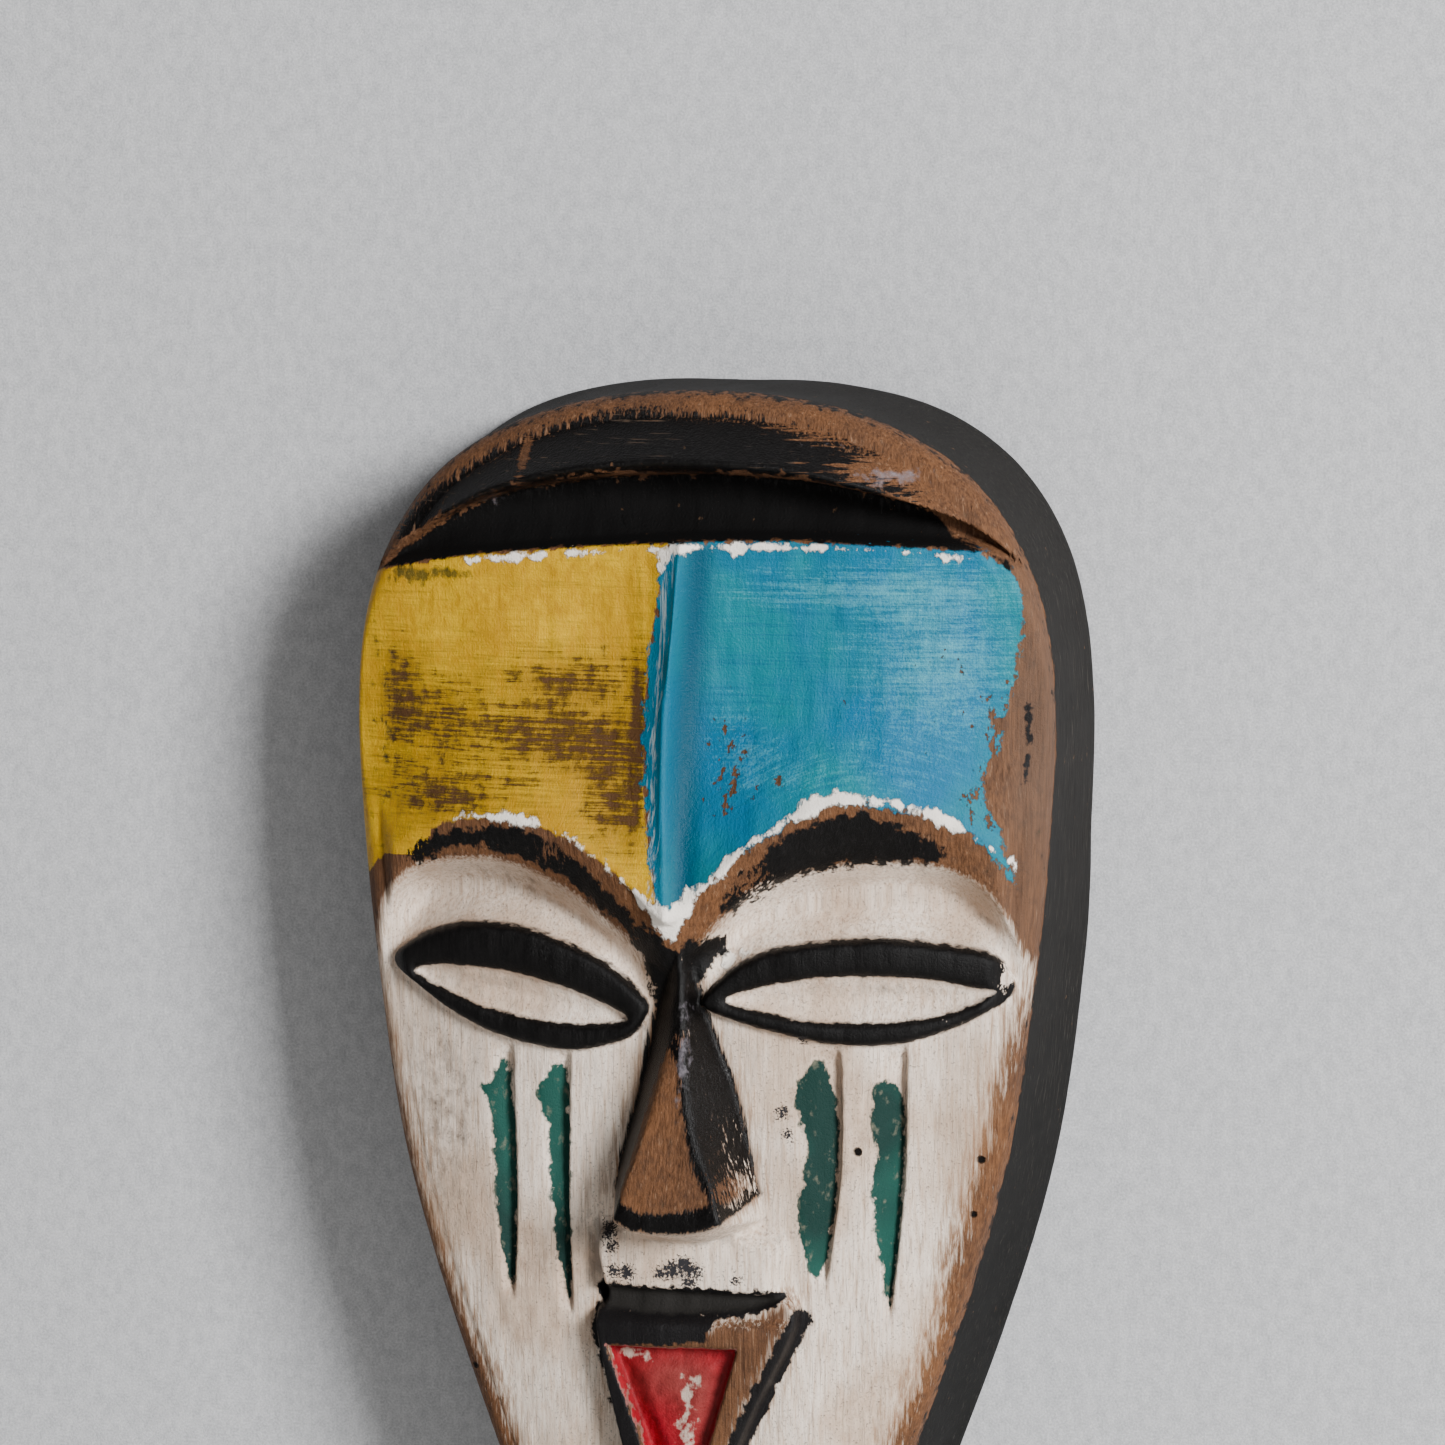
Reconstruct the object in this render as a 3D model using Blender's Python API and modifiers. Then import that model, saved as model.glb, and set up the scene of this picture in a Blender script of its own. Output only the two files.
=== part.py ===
"""Carved wooden wall mask with a steel ring hanger on its back.

The face looks along -Y, the back rim lies in the plane y = 0 (the wall), +Z is up and +X is to the
right of someone who looks at the face. The origin is on the flat back rim, at its top centre.
Lengths are in metres; MM turns millimetres into metres.
"""
import math

import bmesh
import bpy
from mathutils import Vector

MM = 0.001

# ---- carved block ---------------------------------------------------------------------------
# Right half of the front edge, from the top centre to the chin: (x, z)
FRONT_EDGE = [(0, 7), (24, 5), (44, -1), (60, -11), (71, -25), (77.5, -42), (80, -63), (79, -90),
              (76, -122), (70.5, -161), (62.5, -192), (50, -229), (40, -255), (29, -278), (15.5, -296),
              (0, -303)]
# Right half of the back rim: the side wall leans out toward it, most at the shoulders and the jaw
BACK_EDGE = [(0, 7), (24, 6.4), (46, 1.4), (62.5, -8.8), (73.8, -23.5), (80, -41), (82.6, -63),
             (82.4, -90), (81.3, -122), (76.3, -161.5), (68.4, -194), (55.5, -232), (45.3, -258),
             (33.5, -281), (17.5, -297.5), (0, -303)]
# Right half of the hollow's mouth in the back, which leaves a solid land for the hanger on top
HOLLOW_EDGE = [(0, -50), (30, -51), (52, -58), (64, -74), (67, -95), (64, -122), (57.5, -161),
               (49, -192), (36, -229), (26, -254), (14, -276), (0, -285)]
OUTLINE_STEPS = 72
BODY_CENTRE_Z = -149.0
BODY_HALF_WIDTH = 80.0
BODY_HALF_HEIGHT = 155.0
# Side wall and crown of the face as (inset from the front edge, height over the wall)
BODY_PROFILE = [(0, 39), (1.2, 42.5), (5, 45.5), (14, 48.5), (28, 52), (45, 54.5), (62, 55.5), (72, 56)]
# How high the relief may stand near the edge, as (inset, height)
RELIEF_LIMIT = [(60, 80), (28, 64), (14, 58.5), (6, 53), (1.5, 47.5), (-1, 43), (-16, 39.2), (-16, -5)]
HOLLOW_CENTRE_Z = -165.0
HOLLOW_HALF_WIDTH = 67.0
HOLLOW_HALF_HEIGHT = 118.0
HOLLOW_PROFILE = [(0, 0), (4, 12), (10, 24), (22, 32), (40, 35.5), (60, 36.5)]

# ---- relief on the face, as (x, z, height) --------------------------------------------------
BAND_LINE = [(-73, -28, 46), (-60, -16, 47), (-40, -8, 48), (0, -3.5, 48.5), (40, -8, 48),
             (60, -16, 47), (73, -28, 46)]
BAND_RADIUS = [5, 7.5, 9.5, 10, 9.5, 7.5, 5]
GROOVE_LINE = [(-70, -34, 51), (-40, -24, 55), (0, -20, 56), (40, -22, 55), (70, -30, 51)]
GROOVE_RADIUS = [6, 9, 10, 9, 6]
RIDGE_LINE = [(1, -22, 51), (-1, -60, 53), (-2, -109, 57)]
RIDGE_RADIUS = [5, 5, 5]
LEFT_BROW_LINE = [(-71, -104, 48), (-60, -96, 51), (-44, -93, 53), (-27, -98, 54), (-3, -113, 55)]
RIGHT_BROW_LINE = [(73, -103, 48), (58, -91, 51), (42, -88, 53), (22, -94, 54), (-1, -113, 55)]
BROW_RADIUS = [4, 5.5, 6, 6, 5]
FOREHEAD_SCOOPS = [((-38, -60, 60), (39, 40, 12)), ((38, -57, 60), (39, 40, 12))]
SOCKET_SCOOPS = [((-41, -113, 61), (33, 17, 11)), ((39, -111, 61), (34, 17, 11))]
# Eyes: centre, half length and half height of the lid, the same of the eye in it, tilt in degrees
EYES = {"left": ((-40.5, -127.5), (32, 13.5), (27, 5.5), 8.0),
        "right": ((39, -125.5), (34.5, 11.7), (28, 5.2), -1.5)}
LID_HEIGHTS = (46, 57.5)
EYE_HEIGHTS = (53, 62)
EYEBALL_RISE = 2.5
EYE_OVERLAP = 1.5
LID_EDGE_ROUND = 1.6
NOSE_POINTS = [(-5, -118, 50), (3, -118, 50), (-17.5, -172, 50), (-13, -180, 50), (12, -180, 50),
               (17, -172, 50), (-2, -118, 59), (0, -118, 59), (-17, -175, 62), (16, -175, 62),
               (-9, -177, 73), (8, -177, 74)]
CHEEK_CUTS = [(-42, -145, -197, 51.5), (-28.5, -145, -198, 54), (32.5, -141, -195, 54),
              (46.5, -144, -198, 51)]
CHEEK_CUT_RADIUS = 3.0
CHEEK_CUT_RISE = 1.0
MOUTH_OUTLINE = [(-20, -182), (22, -181), (25, -201), (13, -228), (3, -251), (-4, -251), (-13, -228),
                 (-21, -205)]
MOUTH_HEIGHTS = (46, 61)
MOUTH_EDGE_ROUND = 1.2
TONGUE_OUTLINE = [(-17, -208), (11, -208), (-1, -243)]
TONGUE_HEIGHTS = (56.5, 64)
LIP_LINE = [(-19, -196, 62), (-8, -196.5, 62), (9, -197, 62), (21, -197, 62)]
LIP_RADIUS = [0.8, 3.4, 3.4, 0.8]

# ---- ring hanger ------------------------------------------------------------------------------
GAP = 0.3
HINGE_Z = -21.0
SEAT_DEPTH = 4.8
SEAT_WIDTH = 19.0
SEAT_TOP = -7.5
SEAT_BOTTOM = -52.0
WIRE_RADIUS = 0.9
RING_HALF_WIDTH = 6.5
RING_CORNER = 2.0
RING_DROP = 3.5
STRAP_THICKNESS = 0.8
STRAP_WIDTH = 9.0
STRAP_LENGTH = 29.0
STRAP_HOLE_RADIUS = 1.7
CURL_END_DEGREES = 250.0
SCREW_DROPS = {"upper": 15.0, "lower": 23.5}
SCREW_HEAD_RADIUS = 2.6
SCREW_HEAD_HEIGHT = 1.5
SCREW_SHANK_RADIUS = 1.2
SCREW_LENGTH = 11.0
CROSS_LENGTH = 3.0
CROSS_WIDTH = 0.7
CROSS_DEPTH = 0.8
PILOT_RADIUS = 1.6
PILOT_DEPTH = 12.0

CURL_INNER = WIRE_RADIUS + GAP
CURL_OUTER = CURL_INNER + STRAP_THICKNESS
HINGE_Y = -(SEAT_DEPTH - GAP - CURL_OUTER)
STRAP_FRONT_Y = HINGE_Y - CURL_INNER


def point(x, z, height):
    """A place on the mask in metres, from millimetres across, up and out from the wall."""
    return Vector((x, -height, z)) * MM


def clear_scene():
    for item in list(bpy.data.objects):
        bpy.data.objects.remove(item, do_unlink=True)


def new_collection(name):
    group = bpy.data.collections.new(name)
    bpy.context.scene.collection.children.link(group)
    return group


def move_to(item, group):
    for old in list(item.users_collection):
        old.objects.unlink(item)
    group.objects.link(item)


def material(name, colour, roughness, metallic=0.0):
    made = bpy.data.materials.new(name)
    made.use_nodes = True
    shader = made.node_tree.nodes["Principled BSDF"]
    shader.inputs["Base Color"].default_value = (*colour, 1.0)
    shader.inputs["Roughness"].default_value = roughness
    shader.inputs["Metallic"].default_value = metallic
    return made


def mesh_object(name, mesh, group):
    item = bpy.data.objects.new(name, mesh)
    group.objects.link(item)
    return item


def as_cutter(item):
    item.hide_render = True
    item.display_type = "WIRE"
    return item


def boolean(target, tool, operation):
    step = target.modifiers.new(f"{operation.lower()} {tool.name}", "BOOLEAN")
    step.operation = operation
    step.object = tool
    step.solver = "EXACT"


def round_edges(item, radius):
    step = item.modifiers.new("rounded edges", "BEVEL")
    step.width = radius * MM
    step.segments = 2


def smooth(mesh, degrees=40.0):
    mesh.shade_smooth()
    mesh.set_sharp_from_angle(angle=math.radians(degrees))


# ---- curves and lofts ---------------------------------------------------------------------------
def spline_point(knots, place):
    """A point on the smooth curve through the knots; place runs from 0 to the last knot's number."""
    first = min(int(place), len(knots) - 2)
    t = place - first
    a = knots[max(first - 1, 0)]
    b = knots[first]
    c = knots[first + 1]
    d = knots[min(first + 2, len(knots) - 1)]
    return a * (-t**3 + 2 * t**2 - t) / 2 + b * (3 * t**3 - 5 * t**2 + 2) / 2 \
        + c * (-3 * t**3 + 4 * t**2 + t) / 2 + d * (t**3 - t**2) / 2


def smooth_path(knots, steps):
    """Evenly numbered points along the curve through the knots."""
    last = len(knots) - 1
    return [spline_point(knots, last * i / steps) for i in range(steps + 1)]


def closed_outline(half):
    """The whole outline from its right half, evenly spaced along its length."""
    right = [Vector(p) for p in half]
    left = [Vector((-x, z)) for x, z in half[-2:0:-1]]
    loop = [left[-1]] + right + left + [right[0], right[1]]
    knots = len(right) + len(left)
    fine = [spline_point(loop, 1 + knots * i / 1440) for i in range(1441)]
    lengths = [0.0]
    for before, after in zip(fine, fine[1:]):
        lengths.append(lengths[-1] + (after - before).length)
    points = []
    at = 0
    for i in range(OUTLINE_STEPS):
        wanted = lengths[-1] * i / OUTLINE_STEPS
        while lengths[at + 1] < wanted:
            at += 1
        share = (wanted - lengths[at]) / (lengths[at + 1] - lengths[at])
        points.append(fine[at].lerp(fine[at + 1], share))
    return points


def inset_ring(outline, inset, centre_z, half_width, half_height, height):
    across = 1 - inset / half_width
    along = 1 - inset / half_height
    return [point(p.x * across, centre_z + (p.y - centre_z) * along, height) for p in outline]


def mask_block():
    """One closed loft: crowned face, side wall, flat back rim and hollow."""
    edge = closed_outline(FRONT_EDGE)
    mouth = closed_outline(HOLLOW_EDGE)
    body = (BODY_CENTRE_Z, BODY_HALF_WIDTH, BODY_HALF_HEIGHT)
    hollow = (HOLLOW_CENTRE_Z, HOLLOW_HALF_WIDTH, HOLLOW_HALF_HEIGHT)
    rings = [inset_ring(edge, inset, *body, height) for inset, height in reversed(BODY_PROFILE)]
    back = closed_outline(BACK_EDGE)
    middle = [before.lerp(after, 0.5) for before, after in zip(edge, back)]
    rings.append(inset_ring(middle, 0, *body, BODY_PROFILE[0][1] / 2))
    rings.append(inset_ring(back, 0, *body, 0))
    rings += [inset_ring(mouth, inset, *hollow, height) for inset, height in HOLLOW_PROFILE]
    return loft("mask_body", rings)


def relief_limit():
    """A closed dome over the whole face, which trims the relief where it nears the edge."""
    edge = closed_outline(FRONT_EDGE)
    body = (BODY_CENTRE_Z, BODY_HALF_WIDTH, BODY_HALF_HEIGHT)
    return loft("relief_limit", [inset_ring(edge, inset, *body, height)
                                 for inset, height in RELIEF_LIMIT])


def loft(name, rings):
    """A closed mesh through the rings, with a flat cap on the first and the last."""
    bm = bmesh.new()
    rows = [[bm.verts.new(p) for p in ring] for ring in rings]
    for row, after in zip(rows, rows[1:]):
        for i in range(OUTLINE_STEPS):
            j = (i + 1) % OUTLINE_STEPS
            bm.faces.new((row[i], row[j], after[j], after[i]))
    bm.faces.new(rows[0][::-1])
    bm.faces.new(rows[-1])
    bmesh.ops.recalc_face_normals(bm, faces=bm.faces)
    mesh = bpy.data.meshes.new(name)
    bm.to_mesh(mesh)
    bm.free()
    return mesh


# ---- tools that shape the block -----------------------------------------------------------------
def curve_to_mesh(item, group):
    """Turn a curve object into a closed mesh object with the same name and place."""
    bpy.context.view_layer.update()
    evaluated = item.evaluated_get(bpy.context.evaluated_depsgraph_get())
    mesh = bpy.data.meshes.new_from_object(evaluated)
    bm = bmesh.new()
    bm.from_mesh(mesh)
    bmesh.ops.remove_doubles(bm, verts=bm.verts, dist=0.00001)
    bmesh.ops.recalc_face_normals(bm, faces=bm.faces)
    bm.to_mesh(mesh)
    bm.free()
    name = item.name
    place = item.matrix_world.copy()
    bpy.data.objects.remove(item, do_unlink=True)
    made = mesh_object(name, mesh, group)
    made.matrix_world = place
    return made


def tube(name, points, radii, group, sides=3, cyclic=False):
    """A round bar along the points, with a radius in millimetres at each."""
    curve = bpy.data.curves.new(name, "CURVE")
    curve.dimensions = "3D"
    curve.bevel_depth = MM
    curve.bevel_resolution = sides
    curve.use_fill_caps = not cyclic
    run = curve.splines.new("POLY")
    run.points.add(len(points) - 1)
    run.use_cyclic_u = cyclic
    for node, place, radius in zip(run.points, points, radii):
        node.co = (*place, 1.0)
        node.radius = radius
    item = bpy.data.objects.new(name, curve)
    group.objects.link(item)
    return curve_to_mesh(item, group)


def carved_roll(name, line, radii, group, steps=14, sides=3):
    knots = [point(*p) for p in line]
    sizes = [Vector((r, 0)) for r in radii]
    widths = [size.x for size in smooth_path(sizes, steps)]
    return as_cutter(tube(name, smooth_path(knots, steps), widths, group, sides))


def plate(name, outlines, thickness, group):
    """A flat sheet from closed outlines in X and Z, in metres; inner outlines are holes."""
    curve = bpy.data.curves.new(name, "CURVE")
    curve.dimensions = "2D"
    curve.fill_mode = "BOTH"
    curve.extrude = thickness / 2
    for outline in outlines:
        run = curve.splines.new("POLY")
        run.points.add(len(outline) - 1)
        run.use_cyclic_u = True
        for node, (x, z) in zip(run.points, outline):
            node.co = (x, z, 0.0, 1.0)
    item = bpy.data.objects.new(name, curve)
    item.rotation_euler = (math.radians(90), 0, 0)
    group.objects.link(item)
    return curve_to_mesh(item, group)


def slab(name, outline, heights, group):
    low, high = heights
    corners = [(x * MM, z * MM) for x, z in outline]
    item = plate(name, [corners], (high - low) * MM, group)
    item.location.y = -(low + high) / 2 * MM
    return as_cutter(item)


def ellipsoid(name, centre, radii, group):
    bm = bmesh.new()
    bmesh.ops.create_uvsphere(bm, u_segments=32, v_segments=16, radius=1.0)
    bmesh.ops.scale(bm, vec=(radii[0] * MM, radii[2] * MM, radii[1] * MM), verts=bm.verts)
    mesh = bpy.data.meshes.new(name)
    bm.to_mesh(mesh)
    bm.free()
    item = as_cutter(mesh_object(name, mesh, group))
    item.location = point(*centre)
    return item


def cylinder(name, radius, length, group, segments=24):
    """A bar along Y that starts at its own origin and runs to -Y, in millimetres."""
    bm = bmesh.new()
    bmesh.ops.create_cone(bm, cap_ends=True, segments=segments, radius1=radius * MM,
                          radius2=radius * MM, depth=length * MM)
    bmesh.ops.rotate(bm, verts=bm.verts, matrix=Vector((0, 1, 0)).rotation_difference(
        Vector((0, 0, 1))).to_matrix())
    bmesh.ops.translate(bm, verts=bm.verts, vec=(0, -length / 2 * MM, 0))
    mesh = bpy.data.meshes.new(name)
    bm.to_mesh(mesh)
    bm.free()
    return as_cutter(mesh_object(name, mesh, group))


def block(name, size, centre, group):
    bm = bmesh.new()
    bmesh.ops.create_cube(bm, size=1.0)
    bmesh.ops.scale(bm, vec=[s * MM for s in size], verts=bm.verts)
    bmesh.ops.translate(bm, vec=[c * MM for c in centre], verts=bm.verts)
    mesh = bpy.data.meshes.new(name)
    bm.to_mesh(mesh)
    bm.free()
    return as_cutter(mesh_object(name, mesh, group))


def hull(name, corners, group):
    bm = bmesh.new()
    for corner in corners:
        bm.verts.new(point(*corner))
    result = bmesh.ops.convex_hull(bm, input=bm.verts)
    spare = [v for v in result["geom_interior"] if isinstance(v, bmesh.types.BMVert)]
    bmesh.ops.delete(bm, geom=spare, context="VERTS")
    mesh = bpy.data.meshes.new(name)
    bm.to_mesh(mesh)
    bm.free()
    return as_cutter(mesh_object(name, mesh, group))


def almond(centre, half_length, half_height, tilt, steps=28):
    """An eye's outline in X and Z: two arcs that meet in a point at each end."""
    x, z = centre
    turn = math.radians(-tilt)
    points = []
    for i in range(steps):
        angle = math.tau * i / steps
        along = half_length * math.cos(angle)
        up = half_height * math.sin(angle) * abs(math.sin(angle)) ** 0.35
        points.append((x + along * math.cos(turn) - up * math.sin(turn),
                       z + along * math.sin(turn) + up * math.cos(turn)))
    return points


# ---- the pieces -----------------------------------------------------------------------------------
def make_mask(parts, tools):
    mask = mesh_object("mask_body", mask_block(), parts)
    mask.data.materials.append(material("painted wood", (0.62, 0.55, 0.47), 0.7))
    for number, (centre, radii) in enumerate(FOREHEAD_SCOOPS + SOCKET_SCOOPS):
        boolean(mask, ellipsoid(f"scoop_{number}", centre, radii, tools), "DIFFERENCE")
    boolean(mask, carved_roll("band_groove", GROOVE_LINE, GROOVE_RADIUS, tools), "DIFFERENCE")
    boolean(mask, carved_roll("hair_band", BAND_LINE, BAND_RADIUS, tools, 18), "UNION")
    boolean(mask, carved_roll("forehead_ridge", RIDGE_LINE, RIDGE_RADIUS, tools, 4, 1), "UNION")
    boolean(mask, carved_roll("left_brow", LEFT_BROW_LINE, BROW_RADIUS, tools, 10), "UNION")
    boolean(mask, carved_roll("right_brow", RIGHT_BROW_LINE, BROW_RADIUS, tools, 10), "UNION")
    for side, (centre, lid_size, eye_size, tilt) in EYES.items():
        lid = slab(f"{side}_lid", almond(centre, *lid_size, tilt), LID_HEIGHTS, tools)
        round_edges(lid, LID_EDGE_ROUND)
        boolean(mask, lid, "UNION")
        recess = slab(f"{side}_eye_recess", almond(centre, *eye_size, tilt), EYE_HEIGHTS, tools)
        boolean(mask, recess, "DIFFERENCE")
        ball_size = [size + EYE_OVERLAP for size in eye_size] + [EYEBALL_RISE]
        ball = ellipsoid(f"{side}_eye", (*centre, EYE_HEIGHTS[0] - 1), ball_size, tools)
        ball.rotation_euler.y = math.radians(tilt)
        boolean(mask, ball, "UNION")
    limit = as_cutter(mesh_object("relief_limit", relief_limit(), tools))
    boolean(mask, limit, "INTERSECT")
    boolean(mask, hull("nose", NOSE_POINTS, tools), "UNION")
    mouth = slab("mouth_block", MOUTH_OUTLINE, MOUTH_HEIGHTS, tools)
    round_edges(mouth, MOUTH_EDGE_ROUND)
    boolean(mask, mouth, "UNION")
    boolean(mask, slab("tongue_recess", TONGUE_OUTLINE, TONGUE_HEIGHTS, tools), "DIFFERENCE")
    boolean(mask, carved_roll("lip_groove", LIP_LINE, LIP_RADIUS, tools, 8), "DIFFERENCE")
    for number, (x, top, bottom, height) in enumerate(CHEEK_CUTS):
        middle = (top + bottom) / 2
        line = [(x, top, height + CHEEK_CUT_RISE), (x, middle, height + CHEEK_CUT_RISE),
                (x, bottom, height + CHEEK_CUT_RISE - 1)]
        radii = [CHEEK_CUT_RADIUS * 0.6, CHEEK_CUT_RADIUS, CHEEK_CUT_RADIUS * 0.4]
        boolean(mask, carved_roll(f"cheek_cut_{number}", line, radii, tools, 4, 0), "DIFFERENCE")
    seat = block("hanger_seat", (SEAT_WIDTH, 2 * SEAT_DEPTH, SEAT_TOP - SEAT_BOTTOM),
                 (0, 0, (SEAT_TOP + SEAT_BOTTOM) / 2), tools)
    boolean(mask, seat, "DIFFERENCE")
    for which, drop in SCREW_DROPS.items():
        pilot = cylinder(f"pilot_{which}", PILOT_RADIUS, PILOT_DEPTH, tools)
        pilot.location = Vector((0, -SEAT_DEPTH + 1, HINGE_Z - drop)) * MM
        boolean(mask, pilot, "DIFFERENCE")


def arc(centre, radius, start, end, steps):
    """Points on a circle in X and Z, angles in degrees."""
    points = []
    for i in range(steps + 1):
        angle = math.radians(start + (end - start) * i / steps)
        points.append((centre[0] + radius * math.cos(angle), centre[1] + radius * math.sin(angle)))
    return points


def make_strap(parts, steel):
    """A steel plate with two screw holes; its top end curls round the ring's straight side."""
    half = STRAP_WIDTH / 2
    tip = half - STRAP_LENGTH
    outline = [(half, 0), (-half, 0)] + arc((0, tip), half, 180, 360, 14)
    holes = [arc((0, -drop), STRAP_HOLE_RADIUS, 0, 345, 23) for drop in SCREW_DROPS.values()]
    outlines = [[(x * MM, z * MM) for x, z in ring] for ring in [outline] + holes]
    strap = plate("hanger_strap", outlines, STRAP_THICKNESS * MM, parts)
    strap.location = Vector((0, STRAP_FRONT_Y - STRAP_THICKNESS / 2, HINGE_Z)) * MM
    curl_outline = arc((0, 0), CURL_OUTER, 0, CURL_END_DEGREES, 20)
    curl_outline += arc((0, 0), CURL_INNER, CURL_END_DEGREES, 0, 20)
    foot = -1.0
    curl_outline = [(CURL_OUTER, foot)] + curl_outline + [(CURL_INNER, foot)]
    corners = [(x * MM, z * MM) for x, z in curl_outline]
    curl = plate("strap_curl", [corners], STRAP_WIDTH * MM, bpy.data.collections["cutters"])
    curl.rotation_euler.z = math.radians(-90)
    curl.location = Vector((0, HINGE_Y, HINGE_Z)) * MM
    boolean(strap, as_cutter(curl), "UNION")
    strap.data.materials.append(steel)


def make_ring(parts, steel):
    """A bent wire ring; its straight side is the hinge pin, at the ring's own origin."""
    side = RING_HALF_WIDTH
    corner = side - RING_CORNER
    path = [(0, 0)] + arc((corner, -RING_CORNER), RING_CORNER, 90, 0, 4)
    path += arc((0, -RING_DROP), side, 0, -180, 16)
    path += arc((-corner, -RING_CORNER), RING_CORNER, 180, 90, 4)
    points = [Vector((x, 0, z)) * MM for x, z in path]
    ring = tube("hanger_ring", points, [WIRE_RADIUS] * len(points), parts, 3, True)
    ring.location = Vector((0, HINGE_Y, HINGE_Z)) * MM
    smooth(ring.data)
    ring.data.materials.append(steel)


def make_screw(which, drop, parts, tools, steel):
    """A small cross-head screw; its axis is Y and its point goes into the wood."""
    head = SCREW_HEAD_RADIUS
    crown = SCREW_HEAD_HEIGHT
    shank = SCREW_SHANK_RADIUS
    profile = [(0, crown), (head * 0.55, crown * 0.92), (head * 0.9, crown * 0.6), (head, 0.15),
               (head, 0), (shank, 0), (shank, -SCREW_LENGTH + 3), (0, -SCREW_LENGTH)]
    mesh = bpy.data.meshes.new(f"hanger_screw_{which}")
    rows = [(r * MM, 0, z * MM) for r, z in profile]
    mesh.from_pydata(rows, [(i, i + 1) for i in range(len(rows) - 1)], [])
    screw = mesh_object(f"hanger_screw_{which}", mesh, parts)
    turn = screw.modifiers.new("turned", "SCREW")
    turn.angle = math.tau
    turn.steps = 24
    turn.render_steps = 24
    turn.use_merge_vertices = True
    turn.merge_threshold = 0.00001
    screw.rotation_euler = (math.radians(-90), 0, 0)
    screw.location = Vector((0, STRAP_FRONT_Y + GAP, HINGE_Z - drop)) * MM
    for number, size in enumerate([(CROSS_LENGTH, CROSS_WIDTH), (CROSS_WIDTH, CROSS_LENGTH)]):
        slot = block(f"cross_{which}_{number}", (size[0], 2 * CROSS_DEPTH, size[1]), (0, 0, 0), tools)
        slot.location = Vector((0, STRAP_FRONT_Y + GAP + crown, HINGE_Z - drop)) * MM
        boolean(screw, slot, "DIFFERENCE")
    screw.data.materials.append(steel)


def main():
    clear_scene()
    parts = new_collection("carved_wooden_mask")
    tools = new_collection("cutters")
    steel = material("zinc-plated steel", (0.55, 0.54, 0.5), 0.35, 1.0)
    make_mask(parts, tools)
    make_strap(parts, steel)
    make_ring(parts, steel)
    for which, drop in SCREW_DROPS.items():
        make_screw(which, drop, parts, tools, steel)


main()
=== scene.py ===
# %% [markdown]
# # A carved and painted wooden mask
# The mask is one block of wood. A carver works it in relief with adze and gouge, hollows the back, and
# paints it in thin coats that wear off the high places. This lesson makes the carving as one fine mesh
# whose front is a height over the wall, then lays the coats on in the order a painter would.

# %% Load the measured frame
import math

import bpy
import numpy as np
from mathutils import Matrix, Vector


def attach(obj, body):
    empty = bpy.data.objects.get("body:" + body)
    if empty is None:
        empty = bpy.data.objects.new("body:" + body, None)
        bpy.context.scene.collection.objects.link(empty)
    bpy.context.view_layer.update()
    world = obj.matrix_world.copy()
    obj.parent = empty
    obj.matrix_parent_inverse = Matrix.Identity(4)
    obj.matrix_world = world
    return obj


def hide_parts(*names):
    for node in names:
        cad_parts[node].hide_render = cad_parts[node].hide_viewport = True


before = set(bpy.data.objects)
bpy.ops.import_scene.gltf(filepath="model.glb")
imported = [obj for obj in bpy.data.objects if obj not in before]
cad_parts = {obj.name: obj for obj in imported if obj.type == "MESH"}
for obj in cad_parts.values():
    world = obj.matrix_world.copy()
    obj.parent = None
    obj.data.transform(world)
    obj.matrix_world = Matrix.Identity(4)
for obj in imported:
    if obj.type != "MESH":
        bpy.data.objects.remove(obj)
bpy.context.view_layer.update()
MM = 0.001

# %% [markdown]
# ## Drawn curves
# A carver draws each feature on the block before cutting it. Every line here is a few points in
# millimetres across (x) and up (z), seen from the front, with a smooth curve through them. A closed
# curve can say how far inside or outside a point is, and that one number carves the wood and later
# tells the paint where to stop.

# %% A smooth curve through a few points
def smooth_curve(knots, closed, per_span=8):
    """Points on the smooth curve through the knots."""
    knots = np.array(knots, float)
    count = len(knots)
    spans = count if closed else count - 1
    points = []
    for i in range(spans):
        if closed:
            a, b, c, d = (knots[(i + k) % count] for k in (-1, 0, 1, 2))
        else:
            a, b, c, d = knots[max(i - 1, 0)], knots[i], knots[i + 1], knots[min(i + 2, count - 1)]
        for t in np.arange(per_span) / per_span:
            points.append(((2 * b) + (c - a) * t + (2 * a - 5 * b + 4 * c - d) * t**2
                           + (3 * b - a - 3 * c + d) * t**3) / 2)
    if not closed:
        points.append(knots[-1])
    return np.array(points)


def both_sides(right_half):
    """An outline's right half, from the top to the foot, with its mirror image after it."""
    return right_half + [(-x, z) for x, z in right_half[-2:0:-1]]


print("a smooth curve through 3 points has", len(smooth_curve([(0, 0), (1, 2), (3, 1)], False)), "points")

# %% [markdown]
# ## Measuring from a line
# A carver feels how far the tool is from a drawn line. Here that is a number for every point at once:
# the distance to a line, and for a closed outline the same distance with a sign, positive inside. It's
# worked out with plain arrays, which is far quicker than asking Blender about one point at a time.

# %% How far a point is from a line, and how far inside an outline
def distance_to_line(x, z, line):
    """How far each point is from an open line, in millimetres."""
    best = np.full(x.shape, 1e9)
    for a, b in zip(line[:-1], line[1:]):
        along = b - a
        t = ((x - a[0]) * along[0] + (z - a[1]) * along[1]) / max(along @ along, 1e-9)
        t = np.clip(t, 0, 1)
        best = np.minimum(best, (x - a[0] - t * along[0]) ** 2 + (z - a[1] - t * along[1]) ** 2)
    return np.sqrt(best)


FAR = 12.0


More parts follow.
